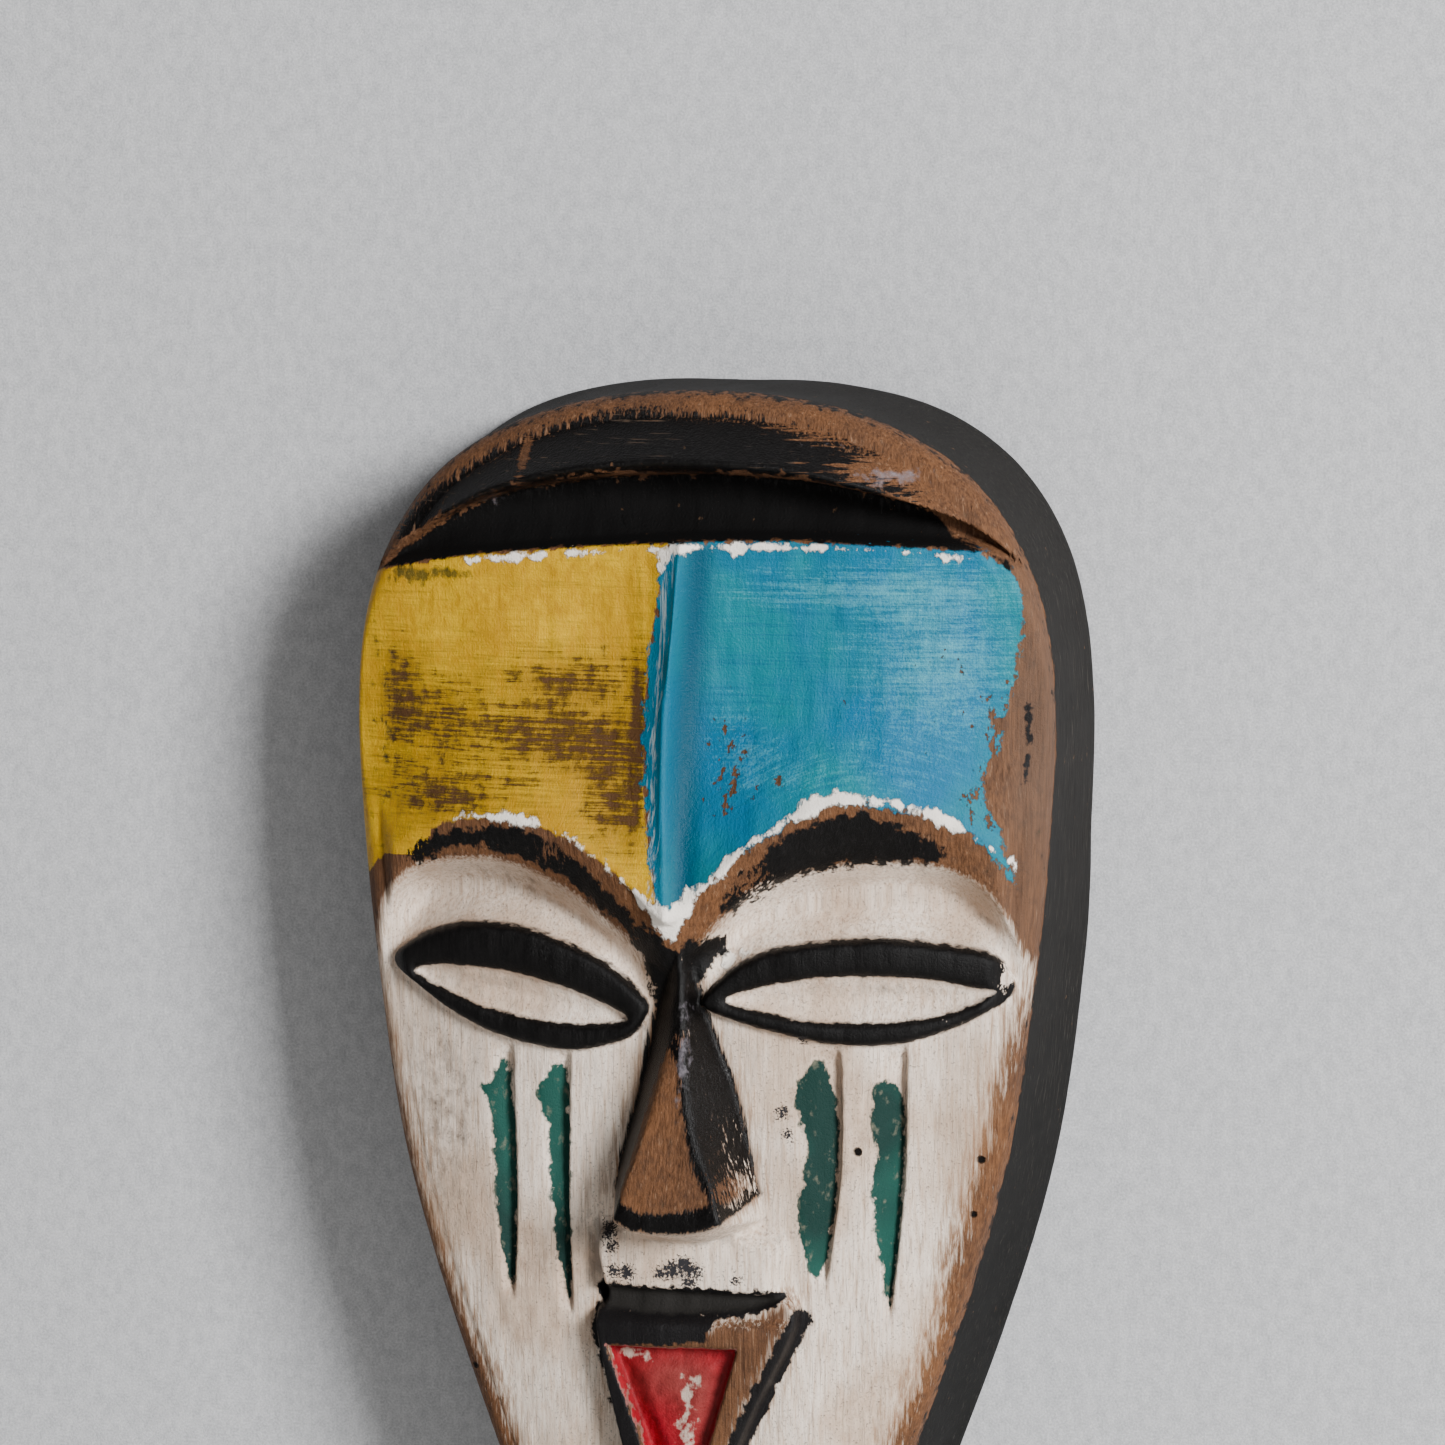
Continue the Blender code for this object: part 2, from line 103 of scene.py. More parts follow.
def inside(x, z, outline):
    """Signed distance to a closed outline: positive inside it, and -FAR well outside it."""
    result = np.full(x.shape, -FAR)
    low = outline.min(axis=0) - FAR
    high = outline.max(axis=0) + FAR
    near = (x > low[0]) & (x < high[0]) & (z > low[1]) & (z < high[1])
    px, pz = x[near], z[near]
    ring = np.vstack([outline, outline[:1]])
    odd = np.zeros(px.shape, bool)
    for a, b in zip(ring[:-1], ring[1:]):
        if a[1] != b[1]:
            crosses = (a[1] > pz) != (b[1] > pz)
            odd ^= crosses & (px < (b[0] - a[0]) * (pz - a[1]) / (b[1] - a[1]) + a[0])
    gap = distance_to_line(px, pz, ring)
    result[near] = np.maximum(np.where(odd, gap, -gap), -FAR)
    return result


square = np.array([(-5, -5), (5, -5), (5, 5), (-5, 5)], float)
print("depth in the middle of a 10 mm square:", inside(np.zeros(1), np.zeros(1), square)[0])

# %% [markdown]
# ## Reading lines and blending heights
# Some lines run right across the face or down it, so their height or place can be looked up. Where
# one cut runs into the next, the heights are eased into each other, as a gouge leaves a small hollow.

# %% Reading a line, soft steps and rounded corners
def level(x, line):
    """The height of a left-to-right line at each x."""
    return np.interp(x, line[:, 0], line[:, 1])


def across(z, line):
    """The place across of a line that runs from the top down, at each z."""
    return np.interp(-z, -line[:, 1], line[:, 0])


def ease(value, low, high):
    """0 below low, 1 above high, and a soft step between them."""
    t = np.clip((value - low) / (high - low), 0, 1)
    return t * t * (3 - 2 * t)


def mix(a, b, share):
    """a where share is 0, b where it is 1, and a blend between."""
    return a + (b - a) * share


def lower_of(a, b, blend):
    """The lower of two heights, with a rounded corner where they meet."""
    t = np.clip(0.5 + (b - a) / (2 * blend), 0, 1)
    return mix(b, a, t) - blend * t * (1 - t)


print("two heights of 10 mm meet at", lower_of(10.0, 10.0, 1.2), "mm")

# %% [markdown]
# ## The drawing on the block
# These are the mask's own lines: its outline at the front and at the wall, the foot of the hair band, the
# top and foot of the painted panels, the ridge, the sockets and the eyes. The outline is the same on both
# sides, as a carver folds a paper pattern, but the eyes are drawn freely and differ.

# %% The mask's own lines, in millimetres
EDGE = smooth_curve(both_sides([(0, 7), (24, 5), (44, -1), (60, -11), (71, -25), (77.5, -42), (80, -63),
                                (79, -90), (76, -122), (70.5, -161), (62.5, -192), (50, -229), (40, -255),
                                (29, -278), (15.5, -296), (0, -303)]), True, 24)
BACK_EDGE = smooth_curve(both_sides([(0, 7), (24, 6.4), (46, 1.4), (62.5, -8.8), (73.8, -23.5), (80, -41),
                                     (82.6, -63), (82.4, -90), (81.3, -122), (76.3, -161.5),
                                     (68.4, -194), (55.5, -232), (45.3, -258), (33.5, -281),
                                     (17.5, -297.5), (0, -303)]), True, 24)
BAND_FOOT = smooth_curve([(-78, -38), (-71.6, -31), (-56.4, -21), (-42, -15.5), (-20, -12), (3, -11),
                          (26, -12.3), (48, -16.4), (62, -21.6), (71, -28), (78, -36)], False)
PANEL_TOP = smooth_curve([(-80, -38), (-72, -33.8), (-60, -31.3), (-48, -29.5), (-21, -27), (0, -25.6),
                          (22, -25.1), (47, -25.6), (65, -27), (73, -31.7), (80, -37)], False)
PANEL_FOOT = smooth_curve([(-82, -106), (-73, -99), (-65, -93), (-55, -89.6), (-47, -88.4), (-34, -89.4),
                           (-24, -93.3), (-13, -101.5), (-3, -110), (4, -103.5), (13, -94.7),
                           (24, -87.2), (32, -83.6), (41, -82.7), (52, -84.4), (64, -89.6), (75, -99),
                           (82, -107)], False)
SOCKET_TOP = smooth_curve([(-76, -126), (-72, -111), (-66.5, -102.5), (-57, -98.3), (-43, -97.8),
                           (-29, -103.2), (-20, -109.6), (-11, -117), (-3, -125), (3, -115),
                           (14.5, -103), (24, -98.6), (37, -96.3), (49, -95.8), (61.5, -98.7),
                           (70, -106.5), (76.5, -121)], False)
RIDGE = smooth_curve([(-1, -24), (-3, -45), (-4.5, -65), (-4.5, -85), (-3, -110)], False)
LEFT_SOCKET = smooth_curve([(-74, -124), (-72, -111), (-66.5, -102.5), (-57, -98.3), (-43, -97.8),
                            (-29, -103.2), (-20, -109.6), (-11, -117), (-7.5, -124), (-12, -130),
                            (-30, -128), (-50, -124), (-66, -127)], True)
RIGHT_SOCKET = smooth_curve([(3, -121), (6, -111), (14.5, -103), (24, -98.6), (37, -96.3), (49, -95.8),
                             (61.5, -98.7), (70, -106.5), (75.5, -121), (72, -127), (52, -124),
                             (24, -124), (8, -128)], True)
LEFT_LID = smooth_curve([(-70.5, -122.5), (-62.5, -115.9), (-50.8, -112.6), (-38, -113.4),
                         (-28.9, -116.1), (-19.6, -120.1), (-11.6, -126), (-8.4, -130.5),
                         (-12.5, -136.5), (-19.7, -139.4), (-28.2, -140.7), (-42.8, -138.6),
                         (-54.5, -134.1), (-64, -128.3)], True)
LEFT_EYE = smooth_curve([(-64.5, -124.8), (-57.6, -122.9), (-43.6, -123.3), (-29.7, -126), (-18.1, -130),
                         (-13.6, -132.8), (-20.4, -134.3), (-31, -134.4), (-43.6, -132.6),
                         (-55.3, -129.1)], True)
RIGHT_LID = smooth_curve([(3.2, -128.7), (7.9, -122.6), (14.7, -117.7), (23.8, -115), (42.6, -113.1),
                          (57.7, -114.5), (67.8, -116.6), (71.4, -121), (72.6, -124.6), (69, -128.3),
                          (60, -133), (47.2, -136.9), (32.9, -137.1), (19.3, -134.6), (9, -131.8)], True)
RIGHT_EYE = smooth_curve([(9.2, -127.6), (18.6, -124.2), (30, -122.2), (42, -121.6), (54, -122.2),
                          (63, -123.9), (68.4, -125), (61.7, -128.5), (54, -130.8), (40.7, -132.1),
                          (28, -131.8), (18, -130.2)], True)
print("outline points", len(EDGE), "width in mm", round(np.ptp(EDGE[:, 0]), 1))

# %% [markdown]
# ## The crowned face
# Under all the relief is a plain crowned shape: high down the middle, falling to a rounded edge. Its
# height is worked out from how far a point is from the middle line to the edge (0 to 1). The wood is
# one surface that can't fold over itself, so a height map carves it well: it keeps every cut sharp
# and cheap, where sculpting or Booleans would need far more steps.

# %% Crown, edge and hand-cut unevenness
RIM_HEIGHT = 45.0
CROWN = 11.0
EDGE_ROUND = 5.5
WALL_TOP = 39.5
HALF_WIDTH = 80.0
GRID = 64
GRID_MIDDLE = 31.7


def uneven(x, z, size_x, size_z, seed):
    """Smooth random hills between -1 and 1, with bumps about size_x by size_z millimetres."""
    grid = np.random.default_rng(seed).uniform(-1, 1, (GRID, GRID))
    u = x / size_x + GRID_MIDDLE
    v = z / size_z + GRID_MIDDLE
    i, j = np.floor(u).astype(int), np.floor(v).astype(int)
    fu, fv = ease(u - i, 0, 1), ease(v - j, 0, 1)
    a, b = grid[i % GRID, j % GRID], grid[(i + 1) % GRID, j % GRID]
    c, d = grid[i % GRID, (j + 1) % GRID], grid[(i + 1) % GRID, (j + 1) % GRID]
    return mix(mix(a, b, fu), mix(c, d, fu), fv)


def crown(x, z, reach):
    """The face before any relief; reach is 0 on the middle line and 1 at the edge."""
    width = np.interp(-z, [-7, 60, 190, 303], [70, 80, 62, 30])
    rise = CROWN * (width / HALF_WIDTH) ** 0.7
    return RIM_HEIGHT + rise * (1 - reach**2.2)


def edge_limit(inset):
    """How high anything may stand this far in from the edge."""
    t = np.clip(1 - inset / EDGE_ROUND, 0, 1)
    rounded = WALL_TOP + (RIM_HEIGHT + 1.5 - WALL_TOP) * np.sqrt(np.clip(1 - t * t, 0, 1))
    return rounded + np.clip(inset - EDGE_ROUND, 0, None) * 1.25


print("plain crown in mm, at most", RIM_HEIGHT + CROWN, "and at the edge", RIM_HEIGHT)

# %% [markdown]
# ## Forehead: band, groove, two scooped panels and the ridge
# The hair band is a fat roll. Under it the gouge has cut a deep dark cove. The two panels are hollow
# scoops that meet in a sharp ridge, and they flare forward at the brow like the lip of a bowl.

# %% Forehead heights
BAND_RISE = 14.5
COVE_HEIGHT = 44.5
PANEL_TOP_HEIGHT = 53.0
BROW_HEIGHT = 61.5
PANEL_HALF_WIDTH = 76
ROLL_CREST = 0.32
ROLL_BACK = 0.68


def band(x, z):
    """The roll along the top of the forehead."""
    foot = level(x, BAND_FOOT)
    top = np.interp(np.abs(x), [0, 24, 44, 60, 71, 80], [7, 5, -1, -11, -25, -50])
    q = np.clip((z - foot) / np.maximum(top - foot, 4.0), 0, 1)
    front = np.sqrt(np.clip(1 - ((ROLL_CREST - q) / ROLL_CREST) ** 2, 0, 1))
    back = 1 - (np.clip(q - ROLL_CREST, 0, 1) / ROLL_BACK) ** 2.4
    roll = np.where(q < ROLL_CREST, 0.25 + 0.75 * front, back)
    rise = BAND_RISE * (1 - 0.5 * (np.abs(x) / PANEL_HALF_WIDTH) ** 3)
    return RIM_HEIGHT - 0.5 + rise * roll


def cove(x, z):
    """The dark groove between the band and the panels."""
    foot = level(x, PANEL_TOP)
    q = np.clip((z - foot) / np.maximum(level(x, BAND_FOOT) - foot, 1.0), 0, 1)
    ends = 2.0 * (np.abs(x) / PANEL_HALF_WIDTH) ** 4
    return COVE_HEIGHT + 3.0 * (1 - q) ** 2 - 1.5 * np.sin(math.pi * q) - ends


def panels(x, z):
    """The two forehead scoops and the ridge between them."""
    top = level(x, PANEL_TOP)
    foot = level(x, PANEL_FOOT)
    v = np.clip((top - z) / (top - foot), 0, 1)
    side = np.abs(x) / PANEL_HALF_WIDTH
    high = PANEL_TOP_HEIGHT - 7.5 * side**2.6
    low = BROW_HEIGHT - 13.0 * side**2.1
    scoop = mix(high, low, v**2.4) - 3.6 * np.sin(math.pi * v) * (1 - 0.4 * side)
    swell = 1.6 * np.exp(-((np.abs(x) - 44) / 20) ** 2) * np.sin(math.pi * v)
    off = x - across(z, RIDGE)
    flank = np.where(off < 0, np.exp(off / 6.5), np.exp(-off / 3.4))
    return scoop + swell + (4.0 + 3.5 * np.sin(math.pi * v) * (v < 1)) * flank


band_top = band(np.zeros(60), np.linspace(-15, 7, 60)).max()
print("hair band stands to", round(band_top, 1), "mm and the brow is planned at", BROW_HEIGHT, "mm")

# %% [markdown]
# ## Brows, sockets and eyes
# Below the panels' lip a flat ledge faces the viewer, then the wood drops into a smooth socket. Each eye
# is an almond ring that stands proud, with a shallow V cut across inside it.

# %% Brow, socket and eye heights
LEDGE_DROP = 3.5
SOCKET_DEPTH = 6.8
LID_RISE = 3.0
EYE_RECESS = 2.3
EYE_V_DEPTH = 1.7


def ledge(x, z):
    """The brow's front, from the panels' lip down to the socket."""
    side = np.abs(x) / PANEL_HALF_WIDTH
    below = np.clip(level(x, PANEL_FOOT) - z, 0, 14)
    fall = LEDGE_DROP * (below / 10) ** 1.5 * (1 - 0.75 * side**3)
    return BROW_HEIGHT - 13.0 * side**2.1 - fall


def carve_socket(h, x, z, outline, lid):
    """Sink the smooth socket, and leave the eye's own ground high in the middle of it."""
    into = inside(x, z, outline)
    to_lid = -inside(x, z, lid)
    depth = SOCKET_DEPTH * ease(into, -0.5, 7.0) * (0.3 + 0.7 * np.clip(to_lid / 6.0, 0, 1))
    return h - depth


def raise_eye(h, x, z, ground, lid, eye):
    """Add the almond ring and cut the eye inside it."""
    outer = inside(x, z, lid)
    inner = inside(x, z, eye)
    t = np.clip(outer, 0, None) / np.maximum(np.clip(outer, 0, None) + np.clip(-inner, 0, None), 0.5)
    ring = ground + LID_RISE - 1.3 * np.abs(2 * t - 1) ** 3
    h = mix(h, ring, ease(outer, -0.35, 0.75))
    floor = ground + LID_RISE - EYE_RECESS - EYE_V_DEPTH * np.clip(inner / 5, 0, 1)
    return mix(h, floor, ease(inner, -0.35, 0.5))


print("eyes in mm across:", round(np.ptp(LEFT_EYE[:, 0]), 1), "and", round(np.ptp(RIGHT_EYE[:, 0]), 1))

# %% [markdown]
# ## Nose
# The nose is a long wedge: a narrow left flank, a worn front facet that widens downward, and a broad
# right flank that meets the facet in a sharp ridge. The underside is cut square to the face.

# %% Nose heights
NOSE_LEFT = smooth_curve([(-4, -112), (-5.8, -121.6), (-8.6, -135.3), (-11.9, -149.7), (-16.1, -166),
                          (-18.5, -180)], False)
NOSE_RIGHT = smooth_curve([(0, -112), (1.5, -121.3), (7, -137.1), (11.3, -147.6), (14.3, -161),
                           (18.5, -180)], False)
FACET_LEFT = smooth_curve([(-2.2, -112), (-1.6, -128), (-2.4, -138), (-6, -153), (-11.5, -170),
                           (-14, -180)], False)
FACET_RIGHT = smooth_curve([(-1.2, -112), (0.6, -128), (1.6, -140), (4.2, -155), (9.5, -168),
                            (12.5, -180)], False)
NOSE_FOOT = smooth_curve([(-22, -169), (-16.5, -172.3), (-12.7, -175.6), (-8, -177.6), (1, -178),
                          (8, -176.8), (13.5, -174), (18, -170.6), (23, -166)], False)
NOSE_ROOT = -112
NOSE_ROOT_HEIGHT = 60.0
NOSE_TIP_HEIGHT = 73.5
NOSE_BASE_HEIGHT = 53.0


def nose(x, z):
    """The wedge: the lowest of its two flanks, its front facet and its underside."""
    tip = NOSE_ROOT_HEIGHT + (NOSE_TIP_HEIGHT - NOSE_ROOT_HEIGHT) * np.clip((-116 - z) / 58, 0, 1)
    left, right = across(z, NOSE_LEFT), across(z, NOSE_RIGHT)
    facet_left, facet_right = across(z, FACET_LEFT), across(z, FACET_RIGHT)
    up_left = NOSE_BASE_HEIGHT + (tip - 1.2 - NOSE_BASE_HEIGHT) * (x - left) / (facet_left - left)
    up_right = NOSE_BASE_HEIGHT + (tip - NOSE_BASE_HEIGHT) * (right - x) / (right - facet_right)
    front = tip - 1.2 * np.clip((facet_right - x) / np.maximum(facet_right - facet_left, 1), 0, 1)
    wedge = lower_of(lower_of(up_left, up_right, 1.3), front, 1.3)
    underside = tip - 3.2 * np.clip(level(x, NOSE_FOOT) - z, -30, 20)
    wedge = lower_of(wedge, underside, 1.2)
    return np.where(z > NOSE_ROOT, 0.0, wedge)


print("nose tip is planned at", NOSE_TIP_HEIGHT, "mm from the wall")

# %% [markdown]
# ## Mouth
# A low block stands under the nose. Its upper lip has a lens-shaped cove, and below it a V-shaped lip
# frames a sunk red triangle. The chin under it is the plain crown again.

# %% Mouth heights
MUZZLE = smooth_curve([(-19.5, -181), (-19, -196), (-21, -203), (-14, -234), (-6, -256), (-1, -262),
                       (4, -254), (14, -226), (25.5, -201), (23, -191), (21, -180), (0, -179)], True)
LIP_COVE = smooth_curve([(-20.8, -193.2), (-10, -193), (10, -193.2), (22.6, -193.8), (17, -198),
                         (0, -200.2), (-12, -200), (-19.6, -199)], True, 12)
RED_RECESS = np.array([(-17.8, -206.9), (12.2, -206.4), (6, -227.5), (0.6, -248.5), (-3, -248.5),
                       (-9.8, -228.2)])
MUZZLE_RISE = 4.5
LIP_RISE = 2.0
COVE_DEPTH = 3.2
RECESS_DEPTH = 4.0


def carve_mouth(h, x, z, ground):
    """Raise the block and its lips, then sink the cove and the red triangle."""
    block = inside(x, z, MUZZLE)
    lips = ease(-z, 199, 202)
    top = ground + MUZZLE_RISE + LIP_RISE * lips - 0.9 * ease(-z, 225, 262)
    soft = 0.9 + 3.5 * ease(x, 8, 16) * ease(z, -200, -192)
    h = mix(h, np.maximum(h, top), ease(block, -0.3 * soft, 1.1 * soft))
    lens = inside(x, z, LIP_COVE)
    slope = np.clip((z + 200.5) / 7, 0, 1)
    h = h - COVE_DEPTH * ease(lens, -0.2, 2.2) * (0.45 + 0.55 * slope)
    red = inside(x, z, RED_RECESS)
    tongue = 1.6 * ease(red, 1.5, 6.0)
    return h - (RECESS_DEPTH - tongue) * ease(red, -0.5, 1.0)


print("mouth block in mm:", round(np.ptp(MUZZLE[:, 0]), 1), "by", round(np.ptp(MUZZLE[:, 1]), 1))

# %% [markdown]
# ## Cheek cuts
# Four tear lines run down the cheeks. Each is one pass of a V tool: a steep wall on its right and a long
# slope on its left, which is where the green paint sits.

# %% Cheek cuts
CHEEK_CUTS = [
    {"wall": [(-41.5, -139), (-41.6, -151), (-41.2, -175), (-42.2, -200)],
     "slope": [(-46, -139), (-48.3, -153), (-46.5, -175), (-44.6, -200)]},
    {"wall": [(-27.8, -140), (-28.2, -150), (-28.6, -175), (-27.6, -203)],
     "slope": [(-31, -140), (-35, -152), (-33.5, -175), (-31, -203)]},
    {"wall": [(33.7, -137), (34.2, -146), (33.8, -168), (30.5, -194)],
     "slope": [(27, -137), (24, -150), (25.5, -170), (27.5, -194)]},
    {"wall": [(48.6, -136), (48.5, -147), (48, -168), (44.6, -201)],
     "slope": [(44, -136), (41.6, -148), (41.8, -170), (43.4, -201)]},
]
CUT_DEPTH = 3.0
for cut in CHEEK_CUTS:
    cut["wall"] = smooth_curve(cut["wall"], False)
    cut["slope"] = smooth_curve(cut["slope"], False)


def carve_cheek(h, x, z, cut):
    """One pass of the V tool, which starts and ends shallow."""
    wall, slope = across(z, cut["wall"]), across(z, cut["slope"])
    top, end = cut["wall"][0][1], cut["wall"][-1][1]
    length = ease(z, end, end + 7) * ease(-z, -top, -top + 5)
    t = np.clip((x - slope) / (wall - slope), 0, 1)
    profile = t**1.3 * (1 - ease(x, wall - 0.1, wall + 0.8))
    return h - CUT_DEPTH * length * profile * (x < wall + 1)


print("cheek cuts:", len(CHEEK_CUTS), "each up to", CUT_DEPTH, "mm deep")

# %% [markdown]
# ## All the relief together
# The cuts come in a carver's order: the ledges first, then sockets, panels, cove and band, then what
# stands proud, and the cheek cuts last. Small hills at three sizes stand for the marks of the gouge.

# %% All the relief together
def face_height(x, z, reach, inset):
    """The height of the finished face over the wall, in millimetres."""
    ground = crown(x, z, reach)
    h = ground.copy()
    lip = level(x, SOCKET_TOP)
    h = mix(h, ledge(x, z), ease(z, lip - 4.5, lip + 0.5))
    h = carve_socket(h, x, z, LEFT_SOCKET, LEFT_LID)
    h = carve_socket(h, x, z, RIGHT_SOCKET, RIGHT_LID)
    h = mix(h, panels(x, z), ease(z - level(x, PANEL_FOOT), -0.5, 0.6))
    h = mix(h, cove(x, z), ease(z - level(x, PANEL_TOP), -0.4, 1.6))
    h = mix(h, band(x, z), ease(z - level(x, BAND_FOOT), -0.6, 0.6))
    h = raise_eye(h, x, z, ground, LEFT_LID, LEFT_EYE)
    h = raise_eye(h, x, z, ground, RIGHT_LID, RIGHT_EYE)
    wedge = nose(x, z)
    h = np.maximum(h, wedge)
    h = carve_mouth(h, x, z, ground)
    for cut in CHEEK_CUTS:
        h = carve_cheek(h, x, z, cut)
    h += 0.35 * uneven(x, z, 11, 19, 3) + 0.16 * uneven(x, z, 3.1, 7.3, 5) + 0.06 * uneven(x, z, 1.1, 6, 6)
    return lower_of(h, edge_limit(inset), 1.2)


middle = face_height(np.zeros(1), np.full(1, -90.0), np.zeros(1), np.full(1, HALF_WIDTH))
print("height in mm on the middle line, 90 mm down:", round(middle[0], 1))

# %% [markdown]
# ## From heights to one closed mesh
# Rings run round the outline and shrink to the middle line, like the contour lines of a long hill. The
# same rings make the front, the side wall and the hollow back, so the whole carving closes in one skin.

# %% The back: rim, hollow and the seat for the hanger
HOLLOW = smooth_curve(both_sides([(0, -50), (30, -51), (52, -58), (64, -74), (67, -95), (64, -122),
                                  (57.5, -161), (49, -192), (36, -229), (26, -254), (14, -276),
                                  (0, -285)]), True)
HOLLOW_DEPTH = 35.5
SEAT_HALF_WIDTH = 9.5
SEAT_TOP = -7.5
SEAT_FOOT = -52.0
SEAT_DEPTH = 4.8


def back_depth(x, z):
    """How far the back is cut into the block, in millimetres from the wall."""
    into = inside(x, z, HOLLOW)
    deep = HOLLOW_DEPTH * (1 - np.exp(-np.clip(into, 0, None) / 11))
    marks = 0.9 * uneven(x, z, 7, 16, 11) + 0.4 * uneven(x, z, 3, 7, 12)
    hollow = np.where(into > 0, deep + marks * ease(into, 0, 5), 0)
    seat_edge = np.minimum(SEAT_HALF_WIDTH - np.abs(x), np.minimum(SEAT_TOP - z, z - SEAT_FOOT))
    return np.maximum(hollow, SEAT_DEPTH * ease(seat_edge, -0.9, 0.0))


print("hanger seat in mm:", 2 * SEAT_HALF_WIDTH, "by", SEAT_TOP - SEAT_FOOT)

# %% [markdown]
# ## Points in rings
# Each ring has the same number of points, so one ring joins to the next with plain four-sided faces. The
# two halves of a ring mirror each other, so that the points of both halves meet on the middle line.

# %% Rings of points
AROUND = 960
FRONT_RINGS = 130
WALL_RINGS = 18
BACK_RINGS = 84
SPINE_TOP = -62.0
SPINE_FOOT = -238.0


def even_steps(outline, count):
    """The outline again, as evenly spaced points that start on its first one."""
    ring = np.vstack([outline, outline[:1]])
    length = np.concatenate([[0], np.cumsum(np.hypot(*np.diff(ring, axis=0).T))])
    wanted = np.arange(count) * length[-1] / count
    return np.stack([np.interp(wanted, length, ring[:, 0]), np.interp(wanted, length, ring[:, 1])], 1)


def mirrored(outline):
    """The outline in even steps, made exactly the same on both sides of the middle line."""
    ring = even_steps(outline, AROUND)
    ring[:, 0] = (ring[:, 0] - np.roll(ring[::-1, 0], 1)) / 2
    ring[:, 1] = (ring[:, 1] + np.roll(ring[::-1, 1], 1)) / 2
    return ring


rim = mirrored(EDGE)
back_rim = mirrored(BACK_EDGE)
spine = np.stack([np.zeros(AROUND), np.clip(rim[:, 1], SPINE_FOOT, SPINE_TOP)], 1)
reach_length = np.hypot(*(rim - spine).T)

front_reach = np.linspace(0, 1, FRONT_RINGS) ** 0.92
reach = front_reach[:, None] * np.ones(AROUND)
front_x = spine[:, 0] + reach * (rim[:, 0] - spine[:, 0])
front_z = spine[:, 1] + reach * (rim[:, 1] - spine[:, 1])
front_inset = (1 - reach) * reach_length
front_h = face_height(front_x, front_z, reach, front_inset)
front_h[-1] = WALL_TOP
front_h[0] = (front_h[0] + np.roll(front_h[0][::-1], 1)) / 2
print("face heights in mm", round(front_h.min(), 1), "to", round(front_h.max(), 1))

# %% [markdown]
# ## The side wall and the back
# The wall was cut with an adze, so it has long shallow flats. It isn't straight: it leans out to a wider
# outline at the back. The back's rings shrink to the middle line again, over the rim and the hollow.

# %% Side wall and back
STEP_ROUND = 0.86  # about how many millimetres lie between two points of a ring
drop = np.linspace(0, 1, WALL_RINGS + 1)[1:]
out = rim - spine
out /= np.hypot(*out.T)[:, None]
arc_place = np.arange(AROUND) * STEP_ROUND
wall_h = WALL_TOP * (1 - drop)[:, None] * np.ones(AROUND)
adze = 0.45 * uneven(arc_place[None, :] + 0 * wall_h, wall_h, 9, 26, 21)
adze += 0.12 * uneven(arc_place[None, :] + 0 * wall_h, wall_h, 2.5, 15, 22)
soft = 0.8 * ease(2.0 - wall_h, 0, 2)
push = (adze - 0.5) * np.sin(math.pi * np.clip(drop, 0, 0.97))[:, None] - soft
wall_x = mix(rim[:, 0], back_rim[:, 0], drop[:, None]) + out[:, 0] * push
wall_z = mix(rim[:, 1], back_rim[:, 1], drop[:, None]) + out[:, 1] * np.minimum(push, 0)

back_reach = (1 - (np.arange(1, BACK_RINGS + 1) / BACK_RINGS))[:, None] * np.ones(AROUND)
back_x = spine[:, 0] + back_reach * (wall_x[-1] - spine[:, 0])
back_z = spine[:, 1] + back_reach * (wall_z[-1] - spine[:, 1])
back_h = back_depth(back_x, back_z)
back_h[-1] = (back_h[-1] + np.roll(back_h[-1][::-1], 1)) / 2
print("hollow is", round(back_h.max(), 1), "mm deep")

# %% [markdown]
# ## The mesh
# All the rings are stacked, front to back, and every four neighbouring points make one face. Making the
# mesh from lists in one go is quick, and keeps the order of points known for the paint's numbers.

# %% The carving's mesh
all_x = np.vstack([front_x, wall_x, back_x])
all_z = np.vstack([front_z, wall_z, back_z])
all_h = np.vstack([front_h, wall_h, back_h])
rows = len(all_x)
places = np.stack([all_x, -all_h, all_z], -1).reshape(-1, 3) * MM
i = np.arange(AROUND)
j = (i + 1) % AROUND
starts = (np.arange(rows - 1) * AROUND)[:, None]
quads = np.stack([starts + i, starts + j, starts + AROUND + j, starts + AROUND + i], -1).reshape(-1, 4)
mesh = bpy.data.meshes.new("mask_carving")
mesh.from_pydata(places.tolist(), [], quads.tolist())
print("carving:", len(places), "points,", len(quads), "faces")

# %% [markdown]
# ## Where each coat of paint lies
# A painter's coats stop at the carved lines, so every point of the mesh keeps, for each coat, how many
# millimetres inside the coat's outline it is. The material turns that number into a ragged, worn edge.
# A number on the mesh holds the drawing to the wood, where a flat stencil would slide over the relief.

